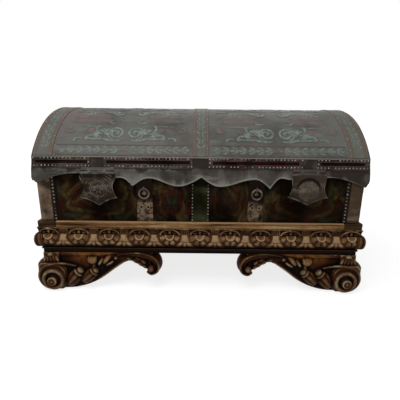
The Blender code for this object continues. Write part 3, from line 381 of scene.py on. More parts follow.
BOARD_WOOD = board_wood()


# Making of meshes

def ease(value, low, high):
    """0 under low, 1 over high, and a soft rise between."""
    part = min(max((value - low) / (high - low), 0.0), 1.0)
    return part * part * (3 - 2 * part)


def hump(value):
    """A round rise: 1 at 0, and 0 from 1 on."""
    return math.sqrt(max(1 - value * value, 0.0))


def rough(point, scale):
    """Smooth noise between about -1 and 1."""
    return noise.fractal(Vector(point) * scale, 1.0, 2.0, 4)


def between(low, high, part):
    """The value at a part of the way from low to high."""
    return low + (high - low) * part


def piece(name, bm, body, slot, *finishes, replaced=(), sharp=60, wall=0.0):
    """The mesh as an object of the scene, riding on its body. A skin gets its thickness, wall, inwards."""
    mesh = bm
    if isinstance(bm, bmesh.types.BMesh):
        mesh = bpy.data.meshes.new(name)
        bm.to_mesh(mesh)
        bm.free()
    for finish in finishes:
        mesh.materials.append(finish)
    mesh.shade_smooth()
    mesh.set_sharp_from_angle(angle=math.radians(sharp))
    made = bpy.data.objects.new(name, mesh)
    bpy.context.scene.collection.objects.link(made)
    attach(made, body)
    if replaced:
        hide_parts(*replaced)
    if wall:
        solidify = made.modifiers.new("thickness", "SOLIDIFY")
        solidify.thickness = wall
        solidify.offset = -1


def skin(columns, rows, place, **values):
    """A net of quads, with each corner where place says for (u, v) of the unit square, and named values."""
    bm = bmesh.new()
    names = {name: bm.verts.layers.float.new(name) for name in values}
    bmesh.ops.create_grid(bm, x_segments=columns, y_segments=rows, size=0.5)
    for vertex in bm.verts:
        u, v = vertex.co.x + 0.5, vertex.co.y + 0.5
        for name, value in values.items():
            vertex[names[name]] = value(u, v)
        vertex.co = place(u, v)
    return bm


def join(bm, part):
    """Adds the small mesh part to bm and frees it."""
    mesh = bpy.data.meshes.new("part")
    part.to_mesh(mesh)
    part.free()
    bm.from_mesh(mesh)
    bpy.data.meshes.remove(mesh)


def bar(columns, rows, place, **values):
    """A bar whose outline closes on itself over v, with both ends filled."""
    bm = skin(columns, rows, place, **values)
    bmesh.ops.remove_doubles(bm, verts=bm.verts, dist=1e-6)
    bmesh.ops.holes_fill(bm, edges=[edge for edge in bm.edges if edge.is_boundary], sides=0)
    bmesh.ops.recalc_face_normals(bm, faces=bm.faces)
    return bm


def curve(points, steps=8):
    """A smooth line through the points."""
    points = [Vector(point) for point in points]
    ends = [points[0] * 2 - points[1], *points, points[-1] * 2 - points[-2]]
    line = []
    for a, b, c, d in zip(ends, ends[1:], ends[2:], ends[3:]):
        for step in range(steps):
            t = step / steps
            line.append(
                (b * 2 + (c - a) * t + (a * 2 - b * 5 + c * 4 - d) * t**2 + (b * 3 - a - c * 3 + d) * t**3) / 2
            )
    return line + [points[-1]]


def along(line, part):
    """The point at a part of the line's steps."""
    step = min(int(part * (len(line) - 1)), len(line) - 2)
    return line[step].lerp(line[step + 1], part * (len(line) - 1) - step)


def spread(points, step):
    """The points of a broken line, with more set between them no further apart than step."""
    line = [points[0]]
    for start, end in zip(points, points[1:]):
        count = max(math.ceil(math.dist(start, end) / step), 1)
        line += [
            tuple(a + (b - a) * part / count for a, b in zip(start, end)) for part in range(1, count + 1)
        ]
    return line


def arc(centre, half_out, half_up, start, end, steps):
    """Points of an elliptical arc, with angles in degrees from outwards, turning up."""
    angles = [math.radians(start + (end - start) * step / steps) for step in range(steps + 1)]
    return [(centre[0] + half_out * math.cos(a), centre[1] + half_up * math.sin(a)) for a in angles]


def nails(name, places, body, radius, missing, bright):
    """Round nail heads at (point, direction out), each with its own tone and a share of them missing."""
    bm = bmesh.new()
    bm.verts.layers.float.new("tone")
    for point, out in places:
        value = bright * draw.choice((0.15, 0.45, 0.6, 0.7, 0.8, 0.9, 1.0))
        if draw.random() < missing:
            continue
        turn = Vector((0, 0, 1)).rotation_difference(Vector(out)).to_matrix().to_4x4()
        size = Matrix.Diagonal((radius, radius, radius * 0.75, 1))
        head = bmesh.new()
        tone = head.verts.layers.float.new("tone")
        bmesh.ops.create_uvsphere(
            head, u_segments=8, v_segments=6, radius=1, matrix=Matrix.Translation(point) @ turn @ size
        )
        for vertex in head.verts:
            vertex[tone] = value
        join(bm, head)
    piece(name, bm, body, "iron", NAIL_BRASS)


def painting():
    """An empty mesh for strokes, whose points hold how far they are from the edge of their stroke."""
    bm = bmesh.new()
    bm.verts.layers.float.new("edge")
    return bm


def stroke(bm, points, width, place, steps=4, lift=0.0004, swell=True, rows=2, strength=1.0):
    """A painted stroke along points of a flat drawing, carried onto the surface by place(a, b, lift)."""
    line = curve([(a, b, 0) for a, b in points], steps)

    def spot(u, v):
        at = along(line, u)
        heading = (along(line, min(u + 0.02, 1.0)) - along(line, max(u - 0.02, 0.0))).normalized()
        half = 0.7 * width * (math.sin(math.pi * (0.08 + 0.84 * u)) if swell else 1.0)
        side = Vector((-heading.y, heading.x, 0)) * half * (2 * v - 1)
        return place(at.x + side.x, at.y + side.y, lift * (0.3 + 0.7 * hump(2 * v - 1)))

    def edge(u, v):
        ends = ease(min(u, 1 - u), 0.0, 0.12) if swell else 1.0
        at = along(line, u)
        patchy = 1.0 if strength == 1.0 else 0.85 + 0.6 * rough((at.x, at.y + 0.05 * v, width), 28)
        return strength * patchy * (1 - abs(2 * v - 1)) * ends

    part = skin(len(line) - 1, rows, spot, edge=edge)
    out = place(*points[0], 0.01) - place(*points[0], 0.0)
    part.normal_update()
    if sum(face.normal.dot(out) for face in part.faces) < 0:
        bmesh.ops.reverse_faces(part, faces=part.faces)
    join(bm, part)


def spiral(centre, start, end, turns, begin):
    """Points of a spiral from radius start to radius end; begin is its first angle in turns."""
    count = int(turns * 10) + 1
    points = []
    for step in range(count + 1):
        part = step / count
        angle = math.tau * (begin + turns * part)
        reach = between(start, end, part)
        points.append((centre[0] + reach * math.cos(angle), centre[1] + reach * math.sin(angle)))
    return points


# Stand: the pitch of the shells along a rail, the end ones from the corner, and the sizes of a shell
PITCH = 0.104
CORNER_TO_SHELL = 0.024
SHELL_Z = 0.216
CUP = 0.0168
SHELL = 0.0405

# Heights on a rail: its lip, foot and top, and where the bead, the carved roll and the top fillet start
RAIL_FOOT = RAIL_LOW.z
RAIL_LIP = RAIL_FOOT - 0.0052
RAIL_TOP = RAIL_HIGH.z
BEAD_Z = 0.1570
ROLL_Z = 0.1725
FILLET_Z = 0.2366
RAIL_BACK = 0.055
CARVED_GROUND = 0.0008


def rail_outline():
    """Outline of a rail, round its front from the lower inner edge: distance out from the chest, and height."""
    front = [(0.005, RAIL_LIP), (0.005, 0.158)]
    front += arc((0.005, 0.162), 0.004, 0.004, -60, 60, 6)
    front += [(0.005, 0.166), (0.0055, 0.1690), (0.0075, 0.1715)]
    front += arc((0.011, 0.1943), 0.0095, 0.0217, -90, 90, 28)
    front += [(0.0105, 0.2175), (0.011, 0.226), (0.013, 0.234), (0.0145, RAIL_TOP)]
    inside = [(-RAIL_BACK, RAIL_TOP), (-RAIL_BACK, RAIL_FOOT), (-0.002, RAIL_FOOT), (-0.002, RAIL_LIP)]
    return spread(front, 0.0014) + inside + [front[0]]


def shell_carving(q, z):
    """Height of the carving of the roll at q from the middle of a shell: cup, petals, rim and fillings."""
    reach = math.hypot(q, SHELL_Z - z)
    turn = math.atan2(SHELL_Z - z, q) / math.pi
    if reach < CUP:
        lip = 0.0022 * hump((reach - 0.86 * CUP) / (0.14 * CUP))
        return 0.0030 + 0.0012 * reach / CUP + lip
    if reach < SHELL:
        petal = abs(math.sin(math.pi * 4 * turn)) ** 0.5
        body = ease(reach, CUP, CUP + 0.003) * (1 - 0.45 * ease(reach, 0.031, 0.0375))
        rim = 0.0034 * hump((reach - 0.0390) / 0.0022)
        return max(CARVED_GROUND + 0.0034 * petal * body, 0.8 * rim)
    gap = math.copysign(PITCH / 2 - abs(q), q)
    block = 0.0054 * ease(reach, SHELL, SHELL + 0.0025) * ease(z, 0.1930, 0.1965)
    block *= 1 - 0.25 * ease(abs(gap), 0.004, 0.012)
    fan = math.atan2(gap, 0.2035 - z)
    reed = abs(math.cos(4.5 * fan)) ** 0.7 * (1 - ease(z, 0.1915, 0.1945))
    reed *= ease(reach, SHELL, SHELL + 0.002)
    return max(block, CARVED_GROUND + 0.0044 * reed)


def leaf_carving(q, z):
    """Height of the carving of the upper band: arches over the shells, each with a tongue, and reeds."""
    arch = math.hypot(q / 0.037, (z - SHELL_Z) / 0.0215)
    gap = PITCH / 2 - abs(q)
    if arch < 1.0:
        rim = 0.0042 * hump((arch - 0.88) / 0.13)
        tongue = 0.0044 * hump(math.hypot(q / 0.0055, (z - 0.2245) / 0.0085))
        side = 0.0028 * hump(math.hypot((abs(q) - 0.017) / 0.009, (z - 0.2215) / 0.0045))
        return max(rim, tongue, side)
    reeds = 0.0034 * abs(math.cos(math.pi * gap / 0.0062)) ** 0.7
    return max(reeds * ease(0.0175 - gap, 0.0, 0.002), CARVED_GROUND)


def carving(place, run, z):
    """Height of the carving at a place along a rail whose shells span run."""
    count = round(run / PITCH)
    at = (place / run + 0.5) * count
    q = (at - min(max(round(at), 0), count)) * run / count
    q = math.copysign(min(abs(q), PITCH / 2), q)
    uneven = 1 + 0.28 * rough((place, z, run), 42)
    if ROLL_Z < z <= SHELL_Z:
        return shell_carving(q, z) * ease(z, ROLL_Z, ROLL_Z + 0.0025) * uneven
    if z > SHELL_Z:
        return leaf_carving(q, z) * (1 - ease(z, 0.2365, 0.2385)) * uneven
    return 0.0


def make_rail(side, heading, across, reach, carved):
    """One rail, with mitred ends; heading turns the front rail to its own side."""
    outline = rail_outline()
    rows = len(outline) - 1
    run = 2 * (reach - CORNER_TO_SHELL)
    turn = Matrix.Rotation(heading, 4, "Z")

    def where(u, v):
        """Distance out, height, place along the rail, and where the rail ends at this distance out."""
        out, z = outline[round(v * rows)]
        end = reach + out - SEAT
        return out, z, end * (2 * u - 1), end

    def height(u, v):
        out, z, place, end = where(u, v)
        if not carved or out < 0:
            return 0.0
        return carving(place, run, z) * ease(end - abs(place), 0.0, 0.006)

    def spot(u, v):
        out, z, place, _ = where(u, v)
        return turn @ Vector((place, -(across + out + height(u, v)), z))

    def relief(u, v):
        out, z, _, _ = where(u, v)
        if out < 0:
            return 0.35
        # Painted shade and highlight: the fillets under the roll are kept dark, with light lines along the bead
        # and low on the fillet
        if z < BEAD_Z:
            return 0.05 + 0.26 * hump((z - RAIL_LIP - 0.0095) / 0.0030)
        if z < ROLL_Z:
            return 0.04 + 0.50 * hump((z - 0.1625) / 0.0024)
        if not carved:
            return 0.45
        if z > FILLET_Z:
            return 0.66 + 0.25 * rough((u * 40, z, 3), 2.0)
        # Painted shade: the carving darkens towards the foot of the roll
        return (0.12 + height(u, v) / 0.0066) * (0.30 + 0.70 * ease(z, 0.1740, 0.1880))

    def gold(u, v):
        if not carved:
            return 0.0
        _, z, place, _ = where(u, v)
        step = run / round(run / PITCH)
        q = abs((place + run / 2 + step / 2) % step - step / 2)
        block = ease(math.hypot(q, SHELL_Z - z), SHELL - 0.002, SHELL + 0.002)
        return block * ease(SHELL_Z + 0.001 - z, 0.0, 0.001) * ease(z, 0.1770, 0.1900)

    columns = round(2 * reach / (0.0018 if carved else 0.02))
    made = bar(columns, rows, spot, relief=relief, gold=gold)
    piece("carved_rail_" + side, made, "stand", "gilt_wood", CARVED_GILT, replaced=["rail_" + side])


make_rail("front", 0.0, BODY_Y, BODY_X, True)
make_rail("right", math.pi / 2, BODY_X, BODY_Y, True)
make_rail("back", math.pi, BODY_Y, BODY_X, False)
make_rail("left", -math.pi / 2, BODY_X, BODY_Y, True)


def corner_leaf(corner, sx, sy):
    """A leaf wrapped round a corner of the rails: ribs that run down from its top to a scalloped edge."""
    band = [point for point in rail_outline() if ROLL_Z < point[1] < 0.2165 and point[0] > 0]
    rows = len(band) - 1
    wing = 0.0145
    fold = 0.006

    def ribs(u, v):
        return abs(math.cos(math.pi * 3.5 * (2 * u - 1) * (0.6 + 0.4 * v)))

    def spot(u, v):
        out, z = band[round(v * rows)]
        run = wing * (2 * u - 1)
        shape = hump(abs(2 * u - 1) ** 1.5) * (0.35 + 0.65 * ease(v, 0.0, 0.12))
        lift = 0.0004 + (0.0042 + 0.0016 * ribs(u, v)) * shape
        turn = math.pi / 4 * (1 - min(max(run / fold, -1), 1))
        back = max(abs(run) - fold, 0.0)
        x = BODY_X + (out + lift) * min(1.0, math.cos(turn) * 1.18) - (back if run < 0 else 0.0)
        y = BODY_Y + (out + lift) * min(1.0, math.sin(turn) * 1.18) - (back if run > 0 else 0.0)
        return Vector((sx * x, sy * y, z))

    def relief(u, v):
        return 0.18 + 0.5 * ribs(u, v) * hump(2 * u - 1)

    bm = skin(40, rows, spot, relief=relief)
    if sx * sy < 0:
        bmesh.ops.reverse_faces(bm, faces=bm.faces)
    piece("corner_leaf_" + corner, bm, "stand", "gilt_wood", CARVED_GILT, wall=0.002)


for corner, sx, sy in CORNERS:
    corner_leaf(corner, sx, sy)


# Feet: forms of the left front foot, grown together and then mirrored

ROLL = Vector((-0.523, -0.263, 0.053))
ARM_FACE = -0.289
FOOT_EDGE = (
    (-0.490, 0.002), (-0.444, 0.006), (-0.399, 0.019), (-0.354, 0.042), (-0.309, 0.076), (-0.270, 0.104)
)
BUTTON = (-0.5255, 0.0375)


def ball(bm, centre, half_sizes, tilt=0.0):
    """A round form; tilt turns its length up from X, in radians."""
    turn = Matrix.Rotation(-tilt, 4, "Y")
    place = Matrix.Translation(centre) @ turn @ Matrix.Diagonal((*half_sizes, 1))
    form = bmesh.new()
    bmesh.ops.create_uvsphere(form, u_segments=14, v_segments=9, radius=1, matrix=place)
    join(bm, form)


def rope(bm, points, y, sizes, depth):
    """A rounded ridge along points (x, z), with its half width running through sizes."""
    line = curve([(x, y, z) for x, z in points], 10)
    length = sum((b - a).length for a, b in zip(line, line[1:]))
    count = int(length / (min(sizes) * 0.5)) + 1
    for step in range(count + 1):
        part = step / count
        size = np.interp(part, np.linspace(0, 1, len(sizes)), sizes)
        ball(bm, along(line, part), (size, depth * size / max(sizes), size))


def lobe(bm, start, end, width, out):
    """A long leaf lobe from start to end, both (x, z), standing out from the arm."""
    start, end = Vector((start[0], ARM_FACE, start[1])), Vector((end[0], ARM_FACE, end[1]))
    reach = end - start
    ball(bm, (start + end) / 2, (reach.length / 2, out, width), math.atan2(reach.z, reach.x))


def husk(bm, base, tip, width, out):
    """A bud of three lobes folded round each other, with its tip turned over."""
    base, tip = Vector(base), Vector(tip)
    reach = tip - base
    side = Vector((-reach.y, reach.x)).normalized()
    for offset, share, height in ((-0.75, 0.8, 0.75), (0.75, 0.8, 0.75), (0.0, 1.0, 1.0)):
        start = base + side * width * offset * 0.4
        end = base + reach * share + side * width * offset
        lobe(bm, start, end, width * (0.62 if offset else 0.7), out * height)
    fold = base + reach * 0.76
    lobe(bm, fold - side * width * 1.05, fold + side * width * 1.05, width * 0.42, out * 1.12)
    lobe(bm, fold, tip, width * 0.75, out)


def solid(bm, outline, front, back):
    """A slab with the outline (x, z) between two depths."""
    face = bm.faces.new([bm.verts.new((x, front, z)) for x, z in outline])
    top = bmesh.ops.extrude_face_region(bm, geom=[face])["geom"]
    moved = [part for part in top if isinstance(part, bmesh.types.BMVert)]
    bmesh.ops.translate(bm, verts=moved, vec=(0, back - front, 0))
    bmesh.ops.recalc_face_normals(bm, faces=bm.faces)


def foot_forms():
    """Slabs, ridges, lobes and round forms of the left front foot, one through the other."""
    bm = bmesh.new()
    edge = [(p.x, p.y) for p in curve([(x, z, 0) for x, z in FOOT_EDGE], 6)]
    slab = [(-0.547, 0.1497), (-0.547, 0.053), (-0.523, 0.004)] + edge
    slab += [(-0.240, 0.117), (-0.210, 0.118), (-0.180, 0.121), (-0.160, 0.1497)]
    solid(bm, slab, ARM_FACE, -0.231)
    solid(bm, [(-0.551, 0.1445), (-0.551, 0.105), (-0.497, 0.105), (-0.497, 0.1445)], -0.297, -0.226)
    roll = [(-0.555, 0.1140), (-0.569, 0.1110), (-0.5765, 0.101), (-0.5785, 0.060), (-0.573, 0.033)]
    roll += [(-0.556, 0.011), (-0.537, 0.0), (-0.492, 0.0), (-0.475, 0.020), (-0.468, 0.053)]
    roll += [(-0.474, 0.085), (-0.490, 0.104), (-0.515, 0.1135)]
    middle = Vector((ROLL.x, ROLL.z))
    slices = 12
    for step in range(slices + 1):
        part = step / slices
        share = 1 - 0.13 * abs(2 * part - 1) ** 7
        rim = [tuple(middle + (Vector(point) - middle) * share) for point in roll]
        front = -0.303 + 0.076 * part
        solid(bm, rim, front, front + 0.005)
    # The scroll on the front of the roll, from the band along the arm to the button
    scroll = [(-0.440, 0.096), (-0.465, 0.101), (-0.495, 0.104)]
    scroll += spiral((ROLL.x - 0.001, ROLL.z - 0.002), 0.050, 0.043, 0.62, 0.25)
    rope(bm, scroll, -0.300, [0.0025, 0.0045, 0.0060, 0.0055, 0.0040], 0.006)
    rope(bm, spiral((-0.5205, 0.0450), 0.0335, 0.0335, 1.0, 0.0), -0.303, [0.0080, 0.0080], 0.010)
    ball(bm, (BUTTON[0], -0.301, BUTTON[1]), (0.0190, 0.012, 0.0190))
    rope(bm, spiral(BUTTON, 0.0130, 0.0130, 1.0, 0.0), -0.309, [0.0038, 0.0038], 0.0045)
    ball(bm, (BUTTON[0], -0.310, BUTTON[1]), (0.0065, 0.0050, 0.0065))
    # Leaf on the neck block
    for turn in (-2, -1, 0, 1, 2):
        place = (-0.524 + 0.0105 * turn, -0.297, 0.128 - 0.003 * abs(turn))
        ball(bm, place, (0.0052, 0.006, 0.019 - 0.003 * abs(turn)), 0.18 * turn)
    ball(bm, (-0.524, -0.299, 0.138), (0.011, 0.006, 0.006))
    # Band along the top of the arm
    band = [(-0.495, 0.1497), (-0.495, 0.1330), (-0.360, 0.1320), (-0.275, 0.1450), (-0.275, 0.1497)]
    solid(bm, band, -0.2915, -0.286)
    # Buds, ball and small leaves
    husk(bm, (-0.478, 0.014), (-0.418, 0.084), 0.020, 0.019)
    husk(bm, (-0.424, 0.028), (-0.364, 0.084), 0.018, 0.018)
    rope(bm, [(-0.470, 0.022), (-0.445, 0.030), (-0.423, 0.055)], -0.290, [0.006, 0.006, 0.004], 0.010)
    ball(bm, (-0.380, -0.293, 0.116), (0.016, 0.015, 0.014))
    for turn in (-1, 0, 1):
        lobe(bm, (-0.380 + 0.008 * turn, 0.104), (-0.380 + 0.012 * turn, 0.130), 0.0060, 0.018)
    rope(bm, [(-0.379, 0.108), (-0.376, 0.096), (-0.378, 0.084)], -0.290, [0.008, 0.006, 0.008], 0.010)
    for start, end, width, depth in (
        ((-0.345, 0.100), (-0.318, 0.130), 0.009, 0.011),
        ((-0.336, 0.094), (-0.305, 0.112), 0.006, 0.008),
        ((-0.362, 0.094), (-0.342, 0.122), 0.006, 0.009),
    ):
        lobe(bm, start, end, width, depth)
    ball(bm, (-0.298, -0.289, 0.122), (0.006, 0.006, 0.006))
    # Curled end: a thick hook with a rim on its front and a leaf rolled inside it
    hook = [(-0.300, 0.1230), (-0.262, 0.1330), (-0.222, 0.1350), (-0.186, 0.1290)]
    hook += [(-0.160, 0.1130), (-0.1515, 0.0910), (-0.160, 0.0740), (-0.176, 0.0690)]
    rope(bm, hook, -0.262, [0.013, 0.0155, 0.0175, 0.0175, 0.0165, 0.0150, 0.0130], 0.034)
    rim = [(-0.290, 0.1345), (-0.250, 0.1420), (-0.210, 0.1420), (-0.176, 0.1330), (-0.154, 0.1150)]
    rim += [(-0.1460, 0.0900), (-0.154, 0.0700), (-0.172, 0.0620), (-0.186, 0.0700)]
    rope(bm, rim, -0.2900, [0.0020, 0.0032, 0.0045, 0.0050, 0.0045, 0.0045], 0.009)
    inner = [(-0.262, 0.124), (-0.238, 0.112), (-0.219, 0.099), (-0.200, 0.086)]
    inner += [(-0.188, 0.081), (-0.176, 0.096), (-0.180, 0.126), (-0.220, 0.130)]
    solid(bm, inner, -0.282, -0.235)
    ball(bm, (-0.174, -0.266, 0.080), (0.018, 0.036, 0.017))
    for x, z, tilt, size in (
        (-0.250, 0.119, -0.4, 0.015),
        (-0.229, 0.110, -0.6, 0.015),
        (-0.212, 0.099, -0.7, 0.014),
        (-0.198, 0.090, -0.8, 0.012),
        (-0.220, 0.119, -0.5, 0.014),
        (-0.202, 0.108, -0.8, 0.013),
    ):
        ball(bm, (x, -0.284, z), (size, 0.010, size * 0.5), tilt)
    return bm


def foot_mesh():
    """The forms of a foot grown into one skin, with its hollows and ridges stored as relief."""
    mesh = bpy.data.meshes.new("foot")
    bm = foot_forms()
    bm.to_mesh(mesh)
    bm.free()
    forms = bpy.data.objects.new("foot_forms", mesh)
    bpy.context.scene.collection.objects.link(forms)
    grown = forms.modifiers.new("grown", "REMESH")
    grown.mode = "VOXEL"
    grown.voxel_size = 0.0020
    smooth = forms.modifiers.new("smooth", "SMOOTH")
    smooth.iterations = 2
    whole = bpy.data.meshes.new_from_object(forms.evaluated_get(bpy.context.evaluated_depsgraph_get()))
    bpy.data.objects.remove(forms)
    for vertex in whole.vertices:
        vertex.co.z = min(max(vertex.co.z, 0.0), RAIL_FOOT - SEAT)
    store_relief(whole, 30, 0.0034)
    age_foot(whole)
    return whole


def rise(values, width):
    """0 where values are under 0, and 1 where they are over width."""
    return np.clip(values / width, 0, 1)


def patch(x, z, half_x, half_z):
    """A soft round patch about 0."""
    return np.exp(-((x / half_x) ** 2) - (z / half_z) ** 2)


def age_foot(mesh):
    """Takes the relief of a foot down where dirt lies and as painted shade, and stores where its old gold and
    painted light show.
    """
    points = np.empty(len(mesh.vertices) * 3)
    relief = np.empty(len(mesh.vertices))
    mesh.vertices.foreach_get("co", points)
    mesh.attributes["relief"].data.foreach_get("value", relief)
    x, _, z = points.reshape(-1, 3).T
    edge_x, edge_z = zip(*FOOT_EDGE)
    over_edge = rise(z - np.interp(x, edge_x, edge_z), 0.018)
    under = np.where((x > -0.470) & (x < -0.275), 1 - over_edge, 0)
    flat = 1 - rise(relief - 0.52, 0.2)
    low = np.where(x > -0.480, rise(0.105 - z, 0.060), 0)
    neck = patch(x + 0.476, z - 0.120, 0.026, 0.020)
    hollow = patch(x + 0.455, z - 0.090, 0.030, 0.012)
    arm = rise(x + 0.360, 0.020) * rise(-0.255 - x, 0.020) * rise(0.126 - z, 0.012)
    arch = rise(x + 0.320, 0.020) * rise(z - 0.120, 0.008)
    band = patch(x + 0.462, z - 0.101, 0.034, 0.009)
    hook = rise(x + 0.275, 0.025) * rise(0.128 - z, 0.008)
    # Dirt and painted shade: darker along the lower edge, beside the neck block, under the band, low down and
    # along the arm, arch, band and hook
    dirt = flat * (0.42 * under + 0.20 * neck + 0.20 * hollow + 0.20 * low + 0.22 * arm)
    dirt = dirt + 0.16 * arch + 0.18 * band + 0.15 * hook
    mesh.attributes["relief"].data.foreach_set("value", np.clip(relief - dirt, 0, 1))
    # Old gold and painted light: the top of the arm's panel is made golden where light falls on it
    top = rise(z - 0.104, 0.026) * rise(x + 0.462, 0.030) * rise(-0.285 - x, 0.03)
    mesh.attributes.new("gold", "FLOAT", "POINT").data.foreach_set("value", top)


def store_relief(mesh, passes, depth):
    """Stores how far each point stands over the smoothed surface: 0 in a hollow, 1 on a ridge."""
    count = len(mesh.vertices)
    points = np.empty(count * 3)
    normals = np.empty(count * 3)
    ends = np.empty(len(mesh.edges) * 2, int)
    mesh.vertices.foreach_get("co", points)
    mesh.vertices.foreach_get("normal", normals)
    mesh.edges.foreach_get("vertices", ends)
    points, normals, ends = points.reshape(-1, 3), normals.reshape(-1, 3), ends.reshape(-1, 2)
    links = np.maximum(np.bincount(ends.ravel(), minlength=count), 1)
    level = points.copy()
    for _ in range(passes):
        total = [
            np.bincount(ends[:, 0], level[ends[:, 1], axis], count)
            + np.bincount(ends[:, 1], level[ends[:, 0], axis], count)
            for axis in range(3)
        ]
        level = np.stack(total, 1) / links[:, None]
    stand = ((points - level) * normals).sum(1)
    values = np.clip(0.5 + stand / (2 * depth), 0, 1)
    mesh.attributes.new("relief", "FLOAT", "POINT").data.foreach_set("value", values)


left_front = foot_mesh()
for corner, sx, sy in CORNERS:
    mesh = left_front.copy()
    mesh.transform(Matrix.Diagonal((-sx, -sy, 1, 1)))
    if sx * sy < 0:
        mesh.flip_normals()
    name = "carved_foot_" + corner
    piece(name, mesh, "stand", "gilt_wood", FOOT_WOOD, replaced=["foot_" + corner], sharp=180)


# Lid: places along X of its bands, and the run of the dome that they leave free at each edge

BAND_IN = 0.484
BAND_OUT = 0.5465
CENTRE_HALF = 0.027
BAND_GAP = 0.003


def on_dome(x, run, lift=0.0):
    """The point at x, and at run along the dome's arc from its front edge, lifted off the leather."""
    if run > DOME_ARC:
        return Vector((x, LID_Y + lift, LID_EDGE - (run - DOME_ARC)))
    angle = run / DOME_RADIUS - DOME_HALF_ANGLE
    reach = DOME_RADIUS + lift
    return Vector((x, reach * math.sin(angle), DOME_CENTRE + reach * math.cos(angle)))


def dome_out(run):
    """The direction out of the dome at a run along its arc."""
    angle = run / DOME_RADIUS - DOME_HALF_ANGLE
    return Vector((0, math.sin(angle), math.cos(angle)))


def lid_cover():
    """Leather over the dome and down its back, a little uneven over the boards."""
    whole = DOME_ARC + LID_EDGE - LID_BOTTOM

    def spot(u, v):
        x = DOME_HIGH.x * (2 * u - 1)
        run = whole * v
        wave = 0.0005 * (1 + rough((x, run, 0), 9)) + 0.0002 * (1 + rough((x, run, 5), 45))
        return on_dome(x, run, max(wave, 0.0))

    def wear(u, v):
        # Painted highlight along the front edge of the dome
        return 0.9 * (1 - ease(whole * v, 0.001, 0.004))

    bm = skin(150, 130, spot, wear=wear)
    piece("lid_cover", bm, "lid", "lid_leather", LID_LEATHER, replaced=["dome_leather"], wall=LEATHER)


def lid_band(name, low, high):
    """A raised strip of leather over the dome between two places along it, with its edges rolled."""

    def from_edge(u):
        return min(u, 1 - u) * (high - low)

    def spot(u, v):
        x = between(low, high, u)
        edge = from_edge(u)
        roll = 0.0011 * ease(edge, 0.0, 0.0025) + 0.0008 * hump((edge - 0.0035) / 0.0024)
        roll += 0.0008 * hump((edge - 0.0105) / 0.0018)
        run = between(BAND_GAP, DOME_ARC - BAND_GAP, v)
        return on_dome(x, run, 0.0010 + roll + 0.0002 * rough((x, run, 2), 40))

    def wear(u, v):
        edge = from_edge(u)
        return 0.6 * hump((edge - 0.0035) / 0.0030) + 0.4 * hump((edge - 0.0105) / 0.0022)

    def age(u, v):
        return 1 - ease(from_edge(u), 0.012, 0.018)

    bm = skin(44, 150, spot, wear=wear, age=age)
    piece(name, bm, "lid", "lid_leather", BAND_LEATHER, wall=0.0015)


def lid_lip():
    """A lip where the dome's leather turns over the front edge, pale as a painted highlight along it."""
    rows = 12
    lip = arc((0, 0), 0.0020, 0.0017, 0, 360, rows)

    def spot(u, v):
        out, up = lip[round(rows * v)]
        z = LID_EDGE + 0.0006 + up + 0.0005 * rough((u * 9, 0, 3), 1)
        return Vector((0.5495 * (2 * u - 1), -LID_Y - 0.0008 - out, z))

    # Painted highlight: the lip is pale all along
    bm = bar(110, rows, spot, wear=lambda u, v: 0.9 + 0.5 * rough((u * 14, 0, 8), 1))
    piece("lid_front_lip", bm, "lid", "lid_leather", SKIRT_LEATHER)


lid_cover()
for side, s in SIDES:
    low, high = sorted((s * BAND_IN, s * BAND_OUT))
    lid_band("lid_end_band_" + side, low, high)
lid_band("lid_centre_band", -CENTRE_HALF, CENTRE_HALF)
lid_lip()

# Lower edge of the leather on the front and the ends: place, height and whether it is a sharp point
FRONT_EDGE = (
    (-0.557, 0.409, True), (-0.542, 0.394, True), (-0.425, 0.426, False), (-0.352, 0.444, True),
    (-0.345, 0.420, False), (-0.300, 0.412, False), (-0.268, 0.413, False), (-0.227, 0.386, True),
    (-0.173, 0.412, False), (-0.074, 0.387, False), (0.003, 0.417, True), (0.065, 0.387, False),
    (0.182, 0.411, False), (0.233, 0.381, True), (0.270, 0.416, False), (0.300, 0.412, False),
    (0.410, 0.420, False), (0.431, 0.420, False), (0.545, 0.388, True), (0.557, 0.411, True),
)
END_EDGE = (
    (-0.301, 0.398, True), (-0.222, 0.416, False), (-0.160, 0.387, True), (-0.100, 0.415, False),
    (0.000, 0.391, False), (0.100, 0.415, False), (0.160, 0.387, True), (0.222, 0.417, False),
    (0.295, 0.392, True),
)
APRON_X = 0.5500
APRON_TOP = 0.4796


def edge_height(place, edge):
    """Height of a scalloped edge: sharp points meet straight, and round ones level."""
    for (start, low, sharp_start), (end, high, sharp_end) in zip(edge, edge[1:]):
        if place <= end:
            break
    part = min(max((place - start) / (end - start), 0.0), 1.0)
    if sharp_start and sharp_end:
        share = part
    elif sharp_start:
        share = math.sin(part * math.pi / 2)
    elif sharp_end:
        share = 1 - math.cos(part * math.pi / 2)
    else:
        share = (1 - math.cos(part * math.pi)) / 2
    return between(low, high, share)


def flare(drop):
    """How far the skirt stands off below the lid's edge."""
    return 0.007 * (max(drop, 0.0) / 0.05) ** 1.3


def end_flare(z):
    """How far the leather of an end stands off at a height."""
    return 0.0072 * ease(LID_EDGE - z, 0.0, 0.060)


